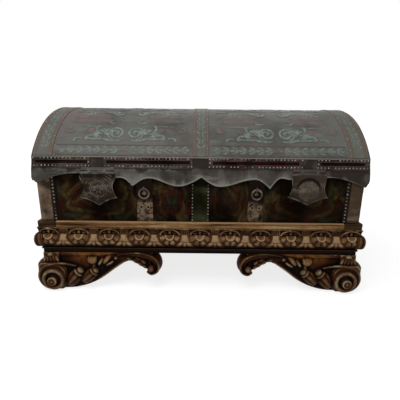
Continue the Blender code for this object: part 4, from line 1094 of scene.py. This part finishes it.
def make_apron():
    """Leather down the front of the lid, which ends in the scalloped skirt."""

    def sizes(u, v):
        x = APRON_X * (2 * u - 1)
        low = edge_height(x * 1.013, FRONT_EDGE)
        return x, between(low, APRON_TOP, v**1.25), low

    def folds(x, z):
        return rough((x * 1.6, z * 0.3, 1), 14)

    def spot(u, v):
        x, z, low = sizes(u, v)
        drop = LID_BOTTOM - z
        calm = min(abs(x - middle) for middle in HASP_X.values())
        free = ease(drop, 0.0, 0.045) * ease(calm, 0.055, 0.085)
        wave = free * 0.0040 * folds(x, z)
        rim = 0.0011 * hump((z - low - 0.0020) / 0.0024)
        out = flare(drop) + wave + rim
        wide = end_flare(z) * ease(abs(x), 0.44, 0.55)
        return Vector((math.copysign(abs(x) + wide, x), -LID_Y - max(out, 0.0), z))

    def wear(u, v):
        x, z, low = sizes(u, v)
        rim = (0.65 + 0.4 * rough((x, 0, 2), 25)) * (1 - ease(z - low, 0.0010, 0.0075))
        fold = 0.4 * ease(folds(x, z), -0.1, 0.7)
        rim *= 0.55 + 0.45 * ease(x, -0.40, -0.25) * (1 - ease(x, 0.40, 0.47))
        rubbed = 0.40 * hump((x + 0.222) / 0.045) * ease(z - low, 0.0, 0.012) * (1 - ease(z, 0.425, 0.435))
        middle = ease(x, -0.5, -0.15) * (1 - ease(x, 0.2, 0.45))
        # Painted light: in the middle the skirt gets paler towards its hem
        lit_hem = 0.34 * middle * (1 - ease(z - low, 0.004, 0.030))
        return rim + rubbed + lit_hem + fold * (0.3 + 0.7 * middle)

    def age(u, v):
        x, z, _ = sizes(u, v)
        ends = 0.12 * (1 - ease(x, -0.46, -0.25)) + 0.65 * ease(x, 0.36, 0.47)
        # Painted shade towards the top, under the nailed strips, over a mottling that is the leather's own
        shade = 0.25 * ease(z, 0.405, 0.440) + 0.85 * rough((x * 1.2, z * 0.7, 5), 24)
        # Painted shade in the gaps between the nailed strips, most in the middle one
        gap = 0.40 * ease(z, 0.436, 0.447) + 0.35 * hump(x / 0.034) * ease(z, 0.440, 0.450)
        return ends + shade + gap

    bm = skin(420, 30, spot, wear=wear, age=age)
    piece("front_apron", bm, "lid", "lid_leather", SKIRT_LEATHER, replaced=["front_skirt"], wall=LEATHER)


def make_end_flap(side, s):
    """Half-moon leather on an end of the lid, with its own scalloped edge."""

    def sizes(u, v):
        y = s * LID_Y * (2 * u - 1)
        low = edge_height(y, END_EDGE)
        top = DOME_CENTRE + math.sqrt(DOME_RADIUS**2 - y**2)
        return y, between(low, top, v), low

    def spot(u, v):
        y, z, _ = sizes(u, v)
        drop = LID_BOTTOM - z
        wave = 0.0016 * ease(drop, 0.0, 0.045) * rough((y, z * 0.4, 7), 14)
        bulge = 0.0004 * (1 + rough((y, z, 4), 12))
        return Vector((s * (LID_X + end_flare(z) + wave + max(bulge, 0.0)), y, z))

    def wear(u, v):
        _, z, low = sizes(u, v)
        return 1 - ease(z - low, 0.0015, 0.0055)

    bm = skin(130, 60, spot, wear=wear)
    name = "end_flap_" + side
    piece(name, bm, "lid", "lid_leather", SKIRT_LEATHER, replaced=["end_leather_" + side], wall=LEATHER)


make_apron()
for side, s in SIDES:
    make_end_flap(side, s)

# Nailed strips on the front of the lid, with a channel between two ridges
CHANNEL_LOW = 0.4592
CHANNEL_HIGH = 0.4698
CHANNEL_END = 0.010
STRIP_FACE = 0.0021
NAIL_RADIUS = 0.0028
NAIL_PITCH = 0.0116
NAIL_ROWS = (0.4765, 0.4520)


def evenly(start, end, count):
    """Values from start to end in a count of equal steps."""
    return [start + (end - start) * step / count for step in range(count + 1)]


def make_fascia(which, open_channel):
    """One nailed strip: its channel is red where open, and dark between high ridges where closed."""
    low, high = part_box("fascia_strip_" + which)
    ridge = 0.0012 if open_channel else 0.0034
    outline = [(0.0, low.z), (0.0016, low.z + 0.0002), (STRIP_FACE, low.z + 0.0016)]
    outline += [(STRIP_FACE, CHANNEL_LOW - 0.0026), (ridge, CHANNEL_LOW - 0.0013), (0.0016, CHANNEL_LOW)]
    outline += [(0.0004, CHANNEL_LOW + 0.0006), (0.0004, CHANNEL_HIGH - 0.0006), (0.0016, CHANNEL_HIGH)]
    outline += [(ridge, CHANNEL_HIGH + 0.0013), (STRIP_FACE, CHANNEL_HIGH + 0.0026)]
    outline += [(STRIP_FACE, high.z - 0.0016), (0.0016, high.z - 0.0002), (0.0, high.z)]
    outline = spread(outline, 0.0022) + [outline[0]]
    rows = len(outline) - 1

    def spot(u, v):
        out, z = outline[round(v * rows)]
        x = between(low.x, high.x, u)
        close = 0.0
        if CHANNEL_LOW < z < CHANNEL_HIGH:
            close = 0.0016 * (1 - ease(min(x - low.x, high.x - x), CHANNEL_END, CHANNEL_END + 0.003))
        wave = 0.0003 * rough((x, z, 6), 30) if out > 0 else 0.0
        return Vector((x, high.y - out - close - max(wave, -0.0002), z))

    def wear(u, v):
        return 0.7 if outline[round(v * rows)][0] > 0.003 else 0.0

    def age(u, v):
        return 0.40 + 1.1 * rough((between(low.x, high.x, u), 0, 8), 22)

    bm = bar(round((high.x - low.x) / 0.004), rows, spot, wear=wear, age=age)
    for face in bm.faces:
        at = face.calc_center_median()
        inside = CHANNEL_LOW < at.z < CHANNEL_HIGH and low.x + CHANNEL_END < at.x < high.x - CHANNEL_END
        face.material_index = 1 if inside and face.normal.y < 0 else 0
    finishes = (RED_LEATHER, CHANNEL_RED if open_channel else CHANNEL_DARK)
    piece("nailed_strip_" + which, bm, "lid", "red_leather", *finishes, replaced=["fascia_strip_" + which])
    places = []
    face = low.y - 0.0004
    count = round((high.x - low.x - 0.006) / NAIL_PITCH)
    for z in NAIL_ROWS:
        for x in evenly(low.x + 0.003, high.x - 0.003, count):
            shift = 0.0006 * draw.uniform(-1, 1)
            places.append((Vector((x + shift, face, z + 0.0005 * draw.uniform(-1, 1))), (0, -1, 0)))
    places += [(Vector((x, face, 0.4645)), (0, -1, 0)) for x in (low.x + 0.004, high.x - 0.004)]
    nails("strip_nails_" + which, places, "lid", NAIL_RADIUS, 0.06, 0.64)


for which, open_channel in (
    ("outer_left", False),
    ("inner_left", False),
    ("inner_right", True),
    ("outer_right", False),
):
    make_fascia(which, open_channel)

# Nails along the bands of the dome, set in from their edges, and round the ends of the lid
NAIL_INSET = 0.006
END_RING = 62
places = []
rows = (CENTRE_HALF - NAIL_INSET, BAND_IN + NAIL_INSET, BAND_OUT - NAIL_INSET)
for x in [-row for row in rows[::-1]] + list(rows):
    for run in evenly(0.010, DOME_ARC - 0.010, 29):
        places.append((on_dome(x, run, 0.0022), dome_out(run)))
nails("dome_nails", places, "lid", 0.0020, 0.45, 0.7)
places = []
for _, s in SIDES:
    x = s * (LID_X + 0.0008)
    for step in range(END_RING):
        angle = DOME_HALF_ANGLE * (2 * (step + 0.5) / END_RING - 1)
        reach = DOME_RADIUS - 0.009
        point = Vector((x, reach * math.sin(angle), DOME_CENTRE + reach * math.cos(angle)))
        places.append((point, (s, 0, 0)))
    for y in evenly(-LID_Y + 0.008, LID_Y - 0.008, 47):
        places.append((Vector((x, y, NAIL_ROWS[1])), (s, 0, 0)))
nails("end_nails", places, "lid", 0.0030, 0.06, 0.6)


# Painted ornament of the dome

def leaf_fan(base, turns, length):
    """Lines of leaves that spread from a base, each bent to one side."""
    leaves = []
    for turn in turns:
        bend = turn + 0.45
        middle = (base[0] + 0.55 * length * math.cos(bend), base[1] + 0.55 * length * math.sin(bend))
        tip = (base[0] + length * math.cos(turn), base[1] + length * math.sin(turn))
        leaves.append([base, middle, tip])
    return leaves


# Half of the drawing of a panel, as points (distance from its middle, run from the edge of the dome)
PANEL_X = 0.254
SCROLL = (0.0325, 0.097)
CROWN = (0.052, 0.287)
# Lines, their width, and the steps between two points of a line
LEAF_STROKES = (
    ([[(0.004, 0.069), (0.020, 0.066), *spiral(SCROLL, 0.0300, 0.0050, 2.0, -0.22)]], 0.0100, 3),
    ([spiral(SCROLL, 0.0048, 0.0038, 0.9, 0.0)], 0.0110, 3),
    (leaf_fan((0.066, 0.086), (2.1, 1.6, 1.15, 0.75), 0.036), 0.0150, 4),
    ([[(0.070, 0.088), (0.092, 0.098), (0.101, 0.114), (0.097, 0.131), (0.086, 0.128)]], 0.0105, 4),
    ([[(0.006, 0.066), (0.040, 0.062), (0.078, 0.071), (0.112, 0.070), (0.138, 0.080)]], 0.0100, 4),
    ([[(0.078, 0.074), (0.098, 0.088), (0.124, 0.084), (0.132, 0.070), (0.118, 0.066)]], 0.0095, 4),
    (leaf_fan((0.092, 0.074), (0.9, 0.3), 0.032), 0.013, 4),
    ([[(0.140, 0.070), (0.156, 0.074), (0.170, 0.066), (0.164, 0.058)]], 0.0080, 4),
    ([[(0.098, 0.127), (0.130, 0.129), (0.168, 0.127)]], 0.0040, 4),
    ([[(0.028, 0.152), (0.052, 0.146), (0.064, 0.158), (0.050, 0.170)]], 0.0085, 4),
    (leaf_fan((0.146, 0.196), (2.6, 1.9, 1.2, 0.5), 0.036), 0.013, 4),
    (leaf_fan((0.055, 0.205), (2.4, 1.5, 0.7), 0.040), 0.013, 4),
    ([[(0.020, 0.226), (0.070, 0.238), (0.120, 0.228), (0.172, 0.244), (0.200, 0.232)]], 0.0095, 4),
    ([[(0.006, 0.262), (0.026, 0.256), *spiral(CROWN, 0.0330, 0.0060, 1.8, -0.25)]], 0.0085, 3),
    (leaf_fan((0.092, 0.276), (2.1, 1.6, 1.15, 0.75), 0.040), 0.014, 4),
    (
        [[(0.088, 0.262), (0.122, 0.274), (0.158, 0.264), (0.190, 0.276), (0.196, 0.298), (0.180, 0.306)]],
        0.0085,
        4,
    ),
    (leaf_fan((0.146, 0.272), (1.9, 1.3), 0.032), 0.012, 4),
    (leaf_fan((0.003, 0.322), (1.2, 0.6, 0.0), 0.026), 0.010, 4),
)
# Points, width, rows of faces and strength
RED_PATCHES = (
    ([(0.045, 0.160), (0.110, 0.166), (0.200, 0.158)], 0.036, 6, 0.8),
    ([(0.060, 0.190), (0.120, 0.197), (0.195, 0.188)], 0.040, 6, 0.8),
    ([(0.102, 0.100), (0.120, 0.108), (0.112, 0.122)], 0.022, 4, 1.0),
    ([(0.176, 0.100), (0.196, 0.112), (0.190, 0.130)], 0.024, 4, 1.0),
    ([(0.020, 0.027), (0.0, 0.027)], 0.014, 4, 1.0),
)
LID_PAINTS = {
    "leaves": PAINT_GREEN,
    "patches": PAINT_RED,
    "lines": PAINT_BROWN,
    "border": PAINT_BORDER,
    "chains": BAND_PAINT,
}


def lid_panel(paints, place):
    """Half of a panel of the dome: leaves, red patches, a border of small leaves and two lines."""
    for drawn, width, steps in LEAF_STROKES:
        for points in drawn:
            stroke(paints["leaves"], points, width, place, steps)
    for points, width, rows, strength in RED_PATCHES:
        stroke(paints["patches"], points, width, place, rows=rows, strength=strength)
    for count in range(7):
        a = 0.022 + 0.0285 * count
        leaf = [(a + 0.021, 0.014), (a + 0.007, 0.018), (a, 0.027), (a + 0.007, 0.036), (a + 0.021, 0.040)]
        stroke(paints["border"], leaf, 0.0125, place, 3)
        stroke(paints["border"], [(a + 0.026, 0.027), (a + 0.004, 0.027)], 0.0125, place)
    for b, width in ((0.0065, 0.0036), (0.0450, 0.0030)):
        stroke(paints["lines"], [(0.0, b), (0.10, b), (0.222, b)], width, place, 4, 0.0003, False)


def lid_ornament():
    """The two panels, each drawn on both sides of its middle from both edges, and chains along the bands."""
    paints = {name: painting() for name in LID_PAINTS}
    for half in (-1, 1):
        for front in (True, False):
            for mirror in (-1, 1):

                def place(a, b, lift):
                    run = b if front else DOME_ARC - b
                    return on_dome(half * PANEL_X + mirror * a, run, 0.0013 + lift)

                lid_panel(paints, place)
    for x in (-0.515, 0.0, 0.515):
        for run in evenly(0.040, DOME_ARC - 0.040, 21):
            for mirror in (-1, 1):

                def place(a, b, lift):
                    return on_dome(x + mirror * a, run + b, 0.0020 + lift)

                stroke(paints["chains"], [(0.000, -0.002), (0.009, 0.001), (0.014, 0.013)], 0.0105, place, 3)
                stroke(paints["chains"], [(0.001, 0.010), (0.006, 0.016), (0.004, 0.026)], 0.0080, place, 3)
    for name, finish in LID_PAINTS.items():
        piece("lid_painted_" + name, paints[name], "lid", "lid_leather", finish)


lid_ornament()


# Hasps: the pin, the face of the leather, the middle of the tooling, and the top at the sides

HASP_PIVOT = Vector((0, -0.3005, 0.4328))
HASP_FACE = -0.3022
HASP_MIDDLE = 0.376
HASP_TOP = 0.419
HASP_DISC = 0.0340
# Half widths at the ears, the waist and the top, height of the ears, and how sharp the point is
HASP_FORMS = {"left": (0.063, 0.0485, 0.060, 0.345, 1.7), "right": (0.069, 0.0540, 0.057, 0.353, 1.4)}


def make_hasp(side):
    """A shield with hollow sides, a raised rim and tooling, rolled at its top round the pin.

    The left one has a rosette in a ringed field with marks round it, and the right one a disc with rings.
    """
    x = HASP_X[side]
    engraved = side == "left"
    ear, waist, top_half, foot, sharpness = HASP_FORMS[side]

    def shape(u, v):
        """Place across as a share and in metres, height, and distance from the edge as a share."""
        s = 2 * u - 1
        if v < 0.55:
            half = waist + (ear - waist) * (1 - math.sin(math.pi * v / 1.1) ** 0.7)
        else:
            half = waist + (top_half - waist) * ease(v, 0.55, 0.95)
        point = -0.026 * (1 - abs(s)) ** sharpness
        crown = 0.0172 * hump(s) ** 0.45
        z = between(foot, HASP_TOP, v) + (1 - v) ** 1.4 * point + v**2 * crown
        return s, s * half, z, min(1 - abs(s), v * 1.2)

    def tooling(u, v):
        s, a, z, edge = shape(u, v)
        reach = math.hypot(a, z - HASP_MIDDLE) + 0.0016 * rough((a, z, x), 45)
        if not engraved:
            disc = 0.0012 * (1 - ease(reach, HASP_DISC, HASP_DISC + 0.0035))
            rings = 0.0004 * math.sin(math.tau * reach / 0.0064) if reach < HASP_DISC else 0.0
            return disc + rings + 0.0005 * rough((a, z, 3), 70)
        turn = math.atan2(z - HASP_MIDDLE, a)
        field = hump((reach - 0.0270) / 0.0026) + 0.8 * hump((reach - 0.0212) / 0.0022)
        petals = abs(math.cos(3.5 * turn + 40 * reach)) * hump((reach - 0.0115) / 0.0072)
        marks = 0.95 * abs(math.sin(6.5 * turn + 4 * s)) * abs(math.sin(math.pi * reach / 0.0095))
        marks = marks * ease(reach, 0.0290, 0.0310) * ease(edge, 0.18, 0.22)
        border = 0.55 * hump((edge - 0.155) / 0.045)
        return 0.0010 * max(field, petals, border, marks)

    def spot(u, v):
        s, a, z, edge = shape(u, v)
        rim = 0.0012 * hump((edge - 0.035) / 0.035)
        swell = 0.0016 * (1 - s * s) * math.sin(math.pi * min(v + 0.1, 1.0))
        return Vector((x + a, HASP_FACE - (rim + swell + tooling(u, v)), z))

    def wear(u, v):
        _, a, z, edge = shape(u, v)
        tooled = ease(tooling(u, v), -0.0002, 0.0022)
        top = 0.45 * ease(z, 0.4250, 0.4290)
        rim = (0.45 + 0.5 * rough((a, z, 9), 40)) * hump((edge - 0.02) / 0.035) * (1 - ease(z, 0.420, 0.428))
        return rim + (1.1 if engraved else 0.55) * tooled + 0.35 * rough((a, z, 4), 35) + top

    def age(u, v):
        _, a, z, _ = shape(u, v)
        # Painted shade: on the left hasp a dark band under the fold of the skirt; on the right one, darker
        # round the edge of the disc and towards the top, under the skirt
        if engraved:
            return 0.9 * ease(z, 0.404, 0.420) * (1 - ease(z, 0.4255, 0.4290))
        groove = hump((math.hypot(a, z - HASP_MIDDLE) - 0.0385) / 0.0060)
        return groove * (0.30 + 0.60 * ease(z, 0.370, 0.405)) + 0.30 * ease(z, 0.395, 0.412)

    rows = 16
    roll = arc((0, 0), 0.0040, 0.0040, 0, 360, rows)

    def roll_spot(u, v):
        out, up = roll[round(rows * v)]
        return Vector((x + 0.040 * (u - 0.5), HASP_PIVOT.y - out, HASP_PIVOT.z + up))

    body = "hasp_" + side
    bm = skin(120, 120, spot, wear=wear, age=age)
    piece("hasp_shield_" + side, bm, body, "worn_leather", HASP_LEATHER, replaced=[body], wall=0.003)
    bm = bar(12, rows, roll_spot, age=lambda u, v: 0.25)
    piece("hasp_roll_" + side, bm, body, "worn_leather", SKIRT_LEATHER)


for side, _ in SIDES:
    make_hasp(side)


def hasp_fold(side, x, old):
    """A fold of the apron's leather over the plate of a hasp's hinge."""

    def spot(u, v):
        a = 0.056 * (2 * u - 1)
        z = 0.4374 + 0.0105 * v
        swell = hump(2 * u - 1) ** 1.3 * hump(1.15 * v - 0.35)
        return Vector((x + a, -LID_Y - 0.0008 - 0.0102 * swell - 0.0006 * rough((a, z, x), 60), z))

    bm = skin(30, 10, spot, age=lambda u, v: old)
    piece("hasp_fold_" + side, bm, "lid", "lid_leather", SKIRT_LEATHER, wall=0.0008)


for side, old in (("left", 0.30), ("right", 0.40)):
    hasp_fold(side, HASP_X[side], old)


# Chest body: radius of its corners, and from a corner the edges of its strap and the rows of nails

BODY_CORNER = 0.005
STRAP_HALF = 0.0575
STRAP_NAILS = 0.0510


def round_body(u):
    """The point at u round the four sides of the body, and the direction out; u runs against the clock."""
    half_x, half_y = BODY_X - BODY_CORNER, BODY_Y - BODY_CORNER
    quarter = math.pi / 2 * BODY_CORNER
    legs = (2 * half_x, quarter, 2 * half_y, quarter) * 2
    place = (u % 1.0) * sum(legs)
    starts = ((-half_x, -half_y), (half_x, -half_y), (half_x, half_y), (-half_x, half_y))
    for count, leg in enumerate(legs):
        if place <= leg:
            break
        place -= leg
    heading = math.pi / 2 * (count // 2)
    base = Vector(starts[count // 2])
    if count % 2 == 0:
        base += Vector((math.cos(heading), math.sin(heading))) * place
        out = heading - math.pi / 2
    else:
        base = Vector(starts[(count // 2 + 1) % 4])
        out = heading - math.pi / 2 + place / BODY_CORNER
    direction = Vector((math.cos(out), math.sin(out), 0))
    return Vector((base.x, base.y, 0)) + direction * BODY_CORNER, direction


def body_cover():
    """Leather round the four sides of the chest."""

    def spot(u, v):
        z = between(BODY_LOW.z, RIM, v)
        at, out = round_body(u)
        at -= out * 0.0004 * (0.6 + 0.5 * rough((at.x, at.y, z), 16))
        return Vector((at.x, at.y, z))

    bm = skin(560, 40, spot)
    bmesh.ops.remove_doubles(bm, verts=bm.verts, dist=1e-6)
    wall = LEATHER - 0.0005
    piece("body_cover", bm, "chest", "body_leather", BODY_LEATHER, replaced=["body_leather"], wall=wall)


def corner_strap(corner, sx, sy):
    """A worn strap folded round a corner of the chest; the left one on the front is the palest."""
    low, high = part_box("corner_strap_" + corner)
    pale, old = (0.42, 0.0) if corner == "front_left" else (-0.10, 0.36)
    bend = 0.0015
    inset = 0.0010

    def spot(u, v):
        z = between(low.z, high.z, v)
        run = STRAP_HALF * (2 * u - 1) * (1 + 0.03 * rough((u * 3, z, sx + 2 * sy), 25))
        lift = 0.0022 + 0.0004 * rough((run, z, sx), 30)
        if run < -bend:
            x, y = BODY_X + 0.0003 + run + bend * 0.2, BODY_Y + lift
        elif run > bend:
            x, y = BODY_X + lift, BODY_Y + 0.0003 - run + bend * 0.2
        else:
            turn = math.pi / 2 * (1 - (run + bend) / (2 * bend))
            reach = inset + lift
            x, y = BODY_X - inset + reach * math.cos(turn), BODY_Y - inset + reach * math.sin(turn)
        return Vector((sx * x, sy * y, z))

    def age(u, v):
        return hump((abs(2 * u - 1) - 0.91) / 0.20) + old

    def wear(u, v):
        fold = 1 - ease(abs(2 * u - 1), 0.0, 0.35)
        rubbed = pale + 0.45 * rough((u * 2, v * 3, sx + 3 * sy), 2.0) + 0.3 * fold
        return rubbed * max(1 - age(u, v), 0.0) * (0.7 + 0.3 * v)

    bm = skin(48, 60, spot, wear=wear, age=age)
    bmesh.ops.recalc_face_normals(bm, faces=bm.faces)
    if sum(face.normal.x * sx + face.normal.y * sy for face in bm.faces) < 0:
        bmesh.ops.reverse_faces(bm, faces=bm.faces)
    replaced = ["corner_strap_" + corner]
    piece("worn_strap_" + corner, bm, "chest", "worn_leather", WORN_LEATHER, replaced=replaced, wall=0.0018)
    places = []
    out = 0.0026
    for z in evenly(low.z + 0.006, high.z - 0.006, 13):
        places.append((Vector((sx * (BODY_X - STRAP_NAILS), sy * (BODY_Y + out), z)), (0, sy, 0)))
        places.append((Vector((sx * (BODY_X + out), sy * (BODY_Y - STRAP_NAILS), z)), (sx, 0, 0)))
    nails("strap_nails_" + corner, places, "chest", 0.0037, 0.04, 0.40)


def centre_strap():
    """The green band down the middle of the front, with a row of nails along each edge."""
    low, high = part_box("centre_band")

    def spot(u, v):
        x, z = between(low.x, high.x, u), between(low.z, high.z, v)
        edge = min(u, 1 - u) * (high.x - low.x)
        rounded = 0.0008 * ease(edge, 0.0, 0.002)
        return Vector((x, low.y + 0.0008 - rounded - 0.0003 * rough((x, z, 9), 30), z))

    # Painted shade with dirt: the band goes nearly black towards its top, under the skirt
    def age(u, v):
        return 1.2 * ease(between(low.z, high.z, v), SKIRT_SHADE_Z, SKIRT_SHADE_Z + 0.034)

    bm = skin(24, 60, spot, age=age)
    piece("green_band", bm, "chest", "green_leather", GREEN_LEATHER, replaced=["centre_band"], wall=0.0012)
    places = []
    for z in evenly(low.z + 0.005, high.z - 0.005, 14):
        places += [(Vector((x, low.y - 0.0003, z)), (0, -1, 0)) for x in (low.x + 0.0025, high.x - 0.0025)]
    nails("band_nails", places, "chest", 0.0034, 0.05, 0.40)


def iron_strap(side, s):
    """A hammered strap with pits, two holes near its foot and a boss inside the ring."""
    low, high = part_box("iron_strap_" + side)
    middle = (low.x + high.x) / 2
    boss_z = sum(corner.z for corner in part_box("ring_" + side)) / 2
    face = -0.2911
    holes_z, holes_out = 0.312, 0.0115
    shade_right = 0.13 if side == "right" else 0.0

    def height(x, z):
        pit = 0.0007 * ease(rough((x, z, s), 95), 0.22, 0.55)
        boss = 0.0016 * hump(math.hypot(x - middle, z - boss_z) / 0.0085) ** 0.7
        reaches = [math.hypot(x - middle - shift, z - holes_z) for shift in (-holes_out, holes_out)]
        holes = sum(0.0024 * hump(reach / 0.0042) for reach in reaches)
        rims = sum(0.0009 * hump((reach - 0.0055) / 0.002) for reach in reaches)
        return boss + rims - pit - holes + 0.0003 * rough((x, z, 7), 30)

    def where(u, v):
        z = between(low.z, high.z, v)
        x = middle + (high.x - low.x) / 2 * (2 * u - 1) * (1 + 0.02 * rough((z, s, 0), 60))
        return x, z

    def spot(u, v):
        x, z = where(u, v)
        edge = min(u, 1 - u) * (high.x - low.x)
        return Vector((x, face - height(x, z) + 0.0008 * (1 - ease(edge, 0.0, 0.002)), z))

    def relief(u, v):
        x, z = where(u, v)
        shade = 0.60 * ease(z, 0.325, 0.348) + shade_right
        return 0.50 + height(x, z) / 0.0022 - shade + 0.12 * rough((x, z, 2 * s), 40)

    bm = skin(54, 160, spot, relief=relief)
    replaced = ["iron_strap_" + side]
    piece("hammered_strap_" + side, bm, "chest", "iron", STRAP_IRON, replaced=replaced, wall=0.0024)


def ring(side, s):
    """A forged drop ring, a little uneven."""
    low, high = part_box("ring_" + side)
    centre = (low + high) / 2

    def spot(u, v):
        turn, around = math.tau * u, math.tau * v
        wire = 0.0035 * (1 + 0.05 * rough((math.cos(turn), math.sin(turn), s), 3))
        reach = 0.0165 + wire * math.cos(around)
        return centre + Vector((reach * math.sin(turn), wire * math.sin(around), reach * math.cos(turn)))

    node = "ring_" + side
    piece("forged_ring_" + side, bar(56, 14, spot), node, "iron", RING_IRON, replaced=[node])


body_cover()
for corner, sx, sy in CORNERS:
    corner_strap(corner, sx, sy)
centre_strap()
for side, s in SIDES:
    iron_strap(side, s)
    ring(side, s)


# Painted ornament of the body

# Middle of a panel of the front, half its width, and how strong its paint is
BODY_PANELS = ((-0.352, 0.130, 0.90), (-0.095, 0.060, 0.70), (0.095, 0.060, 0.55), (0.352, 0.130, 0.50))
# Paint, points as (share of the half width, height), and width
BODY_STROKES = (
    ("ochre", [(0.05, 0.283), (0.42, 0.288), (0.74, 0.312), (0.66, 0.345)], 0.022),
    ("ochre", [(0.70, 0.330), (0.84, 0.365), (0.66, 0.395), (0.76, 0.420)], 0.024),
    ("red", [(0.18, 0.300), (0.46, 0.308), (0.56, 0.345), (0.50, 0.400)], 0.026),
    ("red", [(0.80, 0.290), (0.90, 0.330), (0.84, 0.380)], 0.020),
    ("green", [(0.40, 0.270), (0.70, 0.274), (0.95, 0.285)], 0.020),
    ("green", [(0.93, 0.330), (0.88, 0.372), (0.95, 0.410)], 0.022),
    ("green", [(0.0, 0.325), (0.20, 0.335), (0.28, 0.362), (0.14, 0.390)], 0.026),
)
BODY_PAINTS = {"ochre": BODY_OCHRE, "red": BODY_RED, "green": BODY_GREEN}


def body_ornament():
    """Soft strokes on the panels of the front, drawn on both sides of the middle of each."""
    paints = {name: painting() for name in BODY_PAINTS}
    face = -BODY_Y + 0.0002
    for middle, half, strength in BODY_PANELS:
        for mirror in (-1, 1):

            def place(a, b, lift):
                sway = 0.012 * rough((middle + mirror * a, b, mirror), 9)
                return Vector((middle + mirror * a + sway, face - lift, b + sway))

            for name, points, width in BODY_STROKES:
                points = [(half * a, b) for a, b in points]
                stroke(paints[name], points, width, place, rows=6, strength=strength)
    for name, finish in BODY_PAINTS.items():
        piece("body_painted_" + name, paints[name], "chest", "body_leather", finish)


body_ornament()


# Finishes of the CAD pieces that show as they are, by the start of their names

CAD_FINISHES = {
    ("strip_",): STRIP_WOOD,
    ("corner_block_",): DARK_WOOD,
    ("front_board", "back_board", "left_board", "right_board", "bottom_board"): BOARD_WOOD,
    ("lid_", "dome_boards"): BOARD_WOOD,
    ("hasp_hinge_",): SKIRT_LEATHER,
    ("ring_staple_",): RING_IRON,
    ("lock_",): HINGE_IRON,
    ("handle_", "hinge_"): PLATE_IRON,
}
ROUNDED = {"strip_": 0.0022, "corner_block_": 0.0060}
for node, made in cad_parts.items():
    for starts, finish in CAD_FINISHES.items():
        if node.startswith(starts):
            made.material_slots[0].material = finish
    for start, width in ROUNDED.items():
        if node.startswith(start):
            made.modifiers.new("weld", "WELD").merge_threshold = 1e-5
            rounded = made.modifiers.new("rounded", "BEVEL")
            rounded.width = width
            rounded.segments = 3
            rounded.limit_method = "ANGLE"


# Floor, light and camera

def lamp(name, place, target, size, power):
    """A square soft lamp."""
    data = bpy.data.lights.new(name, "AREA")
    data.size = size
    data.energy = power
    made = bpy.data.objects.new(name, data)
    made.location = place
    made.rotation_euler = (Vector(target) - Vector(place)).to_track_quat("-Z", "Y").to_euler()
    bpy.context.scene.collection.objects.link(made)


def pale_floor():
    """A floor that glows white to the camera and in mirrors, less near the chest, and else is pale grey."""
    floor = Finish("pale_floor", 0.8)
    seen = floor.node("ShaderNodeLightPath", output="Is Camera Ray")
    for ray in ("Is Glossy Ray", "Is Transmission Ray"):
        seen = seen.math("MAXIMUM", seen, floor.node("ShaderNodeLightPath", output=ray))
    away = floor.node("ShaderNodeVectorMath", {"operation": "LENGTH"}, {0: floor.place()}, "Value")
    glow = floor.mix((0.80, 0.80, 0.80), (1.0, 1.0, 1.0), floor.ramp(away, 0.75, 2.2))
    pale = floor.mix((0.74, 0.74, 0.74), (0.76, 0.76, 0.76), floor.grain(3.0))
    floor.set(
        base_color=floor.mix(pale, (0.29, 0.29, 0.29), seen),
        emission_color=floor.mix((0.0, 0.0, 0.0), glow, seen),
        emission_strength=1.0,
        specular_ior_level=0.0,
    )
    bm = bmesh.new()
    bmesh.ops.create_grid(bm, x_segments=1, y_segments=1, size=30)
    mesh = bpy.data.meshes.new("floor")
    bm.to_mesh(mesh)
    bm.free()
    mesh.materials.append(floor.material)
    made = bpy.data.objects.new("floor", mesh)
    bpy.context.scene.collection.objects.link(made)


def white_world(level):
    """White to the camera and in reflections, and soft light at a plain level for the rest."""
    world = bpy.data.worlds.new("studio")
    bpy.context.scene.world = world
    world.use_nodes = True
    tree = world.node_tree
    path = tree.nodes.new("ShaderNodeLightPath")
    shown = path.outputs["Is Camera Ray"]
    for ray in ("Is Glossy Ray", "Is Transmission Ray"):
        either = tree.nodes.new("ShaderNodeMath")
        either.operation = "MAXIMUM"
        tree.links.new(shown, either.inputs[0])
        tree.links.new(path.outputs[ray], either.inputs[1])
        shown = either.outputs[0]
    shade = tree.nodes.new("ShaderNodeMapRange")
    shade.inputs["To Min"].default_value = level
    tree.links.new(shown, shade.inputs["Value"])
    tree.links.new(shade.outputs[0], tree.nodes["Background"].inputs["Strength"])
    tree.nodes["Background"].inputs["Color"].default_value = (1, 1, 1, 1)


pale_floor()
white_world(0.28)
lamp("key", (-0.6, -1.35, 2.5), (0, 0, 0.35), 1.7, 50)
lamp("fill", (-0.6, -2.8, 1.1), (0, 0, 0.3), 2.4, 14)
lamp("back", (0.4, 2.6, 1.9), (0, 0, 0.35), 2.4, 20)

# The view of the photograph, with its tilt down and its roll in degrees
CAMERA_PLACE = (-0.0012, -1.2763, 0.596)
CAMERA_TILT = 14.62
CAMERA_ROLL = 0.62
camera = bpy.data.objects.new("camera", bpy.data.cameras.new("camera"))
bpy.context.scene.collection.objects.link(camera)
camera.data.lens = 27.2
camera.data.sensor_width = 36.0
camera.matrix_world = (
    Matrix.Translation(CAMERA_PLACE)
    @ Matrix.Rotation(math.radians(90 - CAMERA_TILT), 4, "X")
    @ Matrix.Rotation(math.radians(CAMERA_ROLL), 4, "Z")
)
bpy.context.scene.camera = camera
bpy.context.scene.view_settings.view_transform = "Standard"
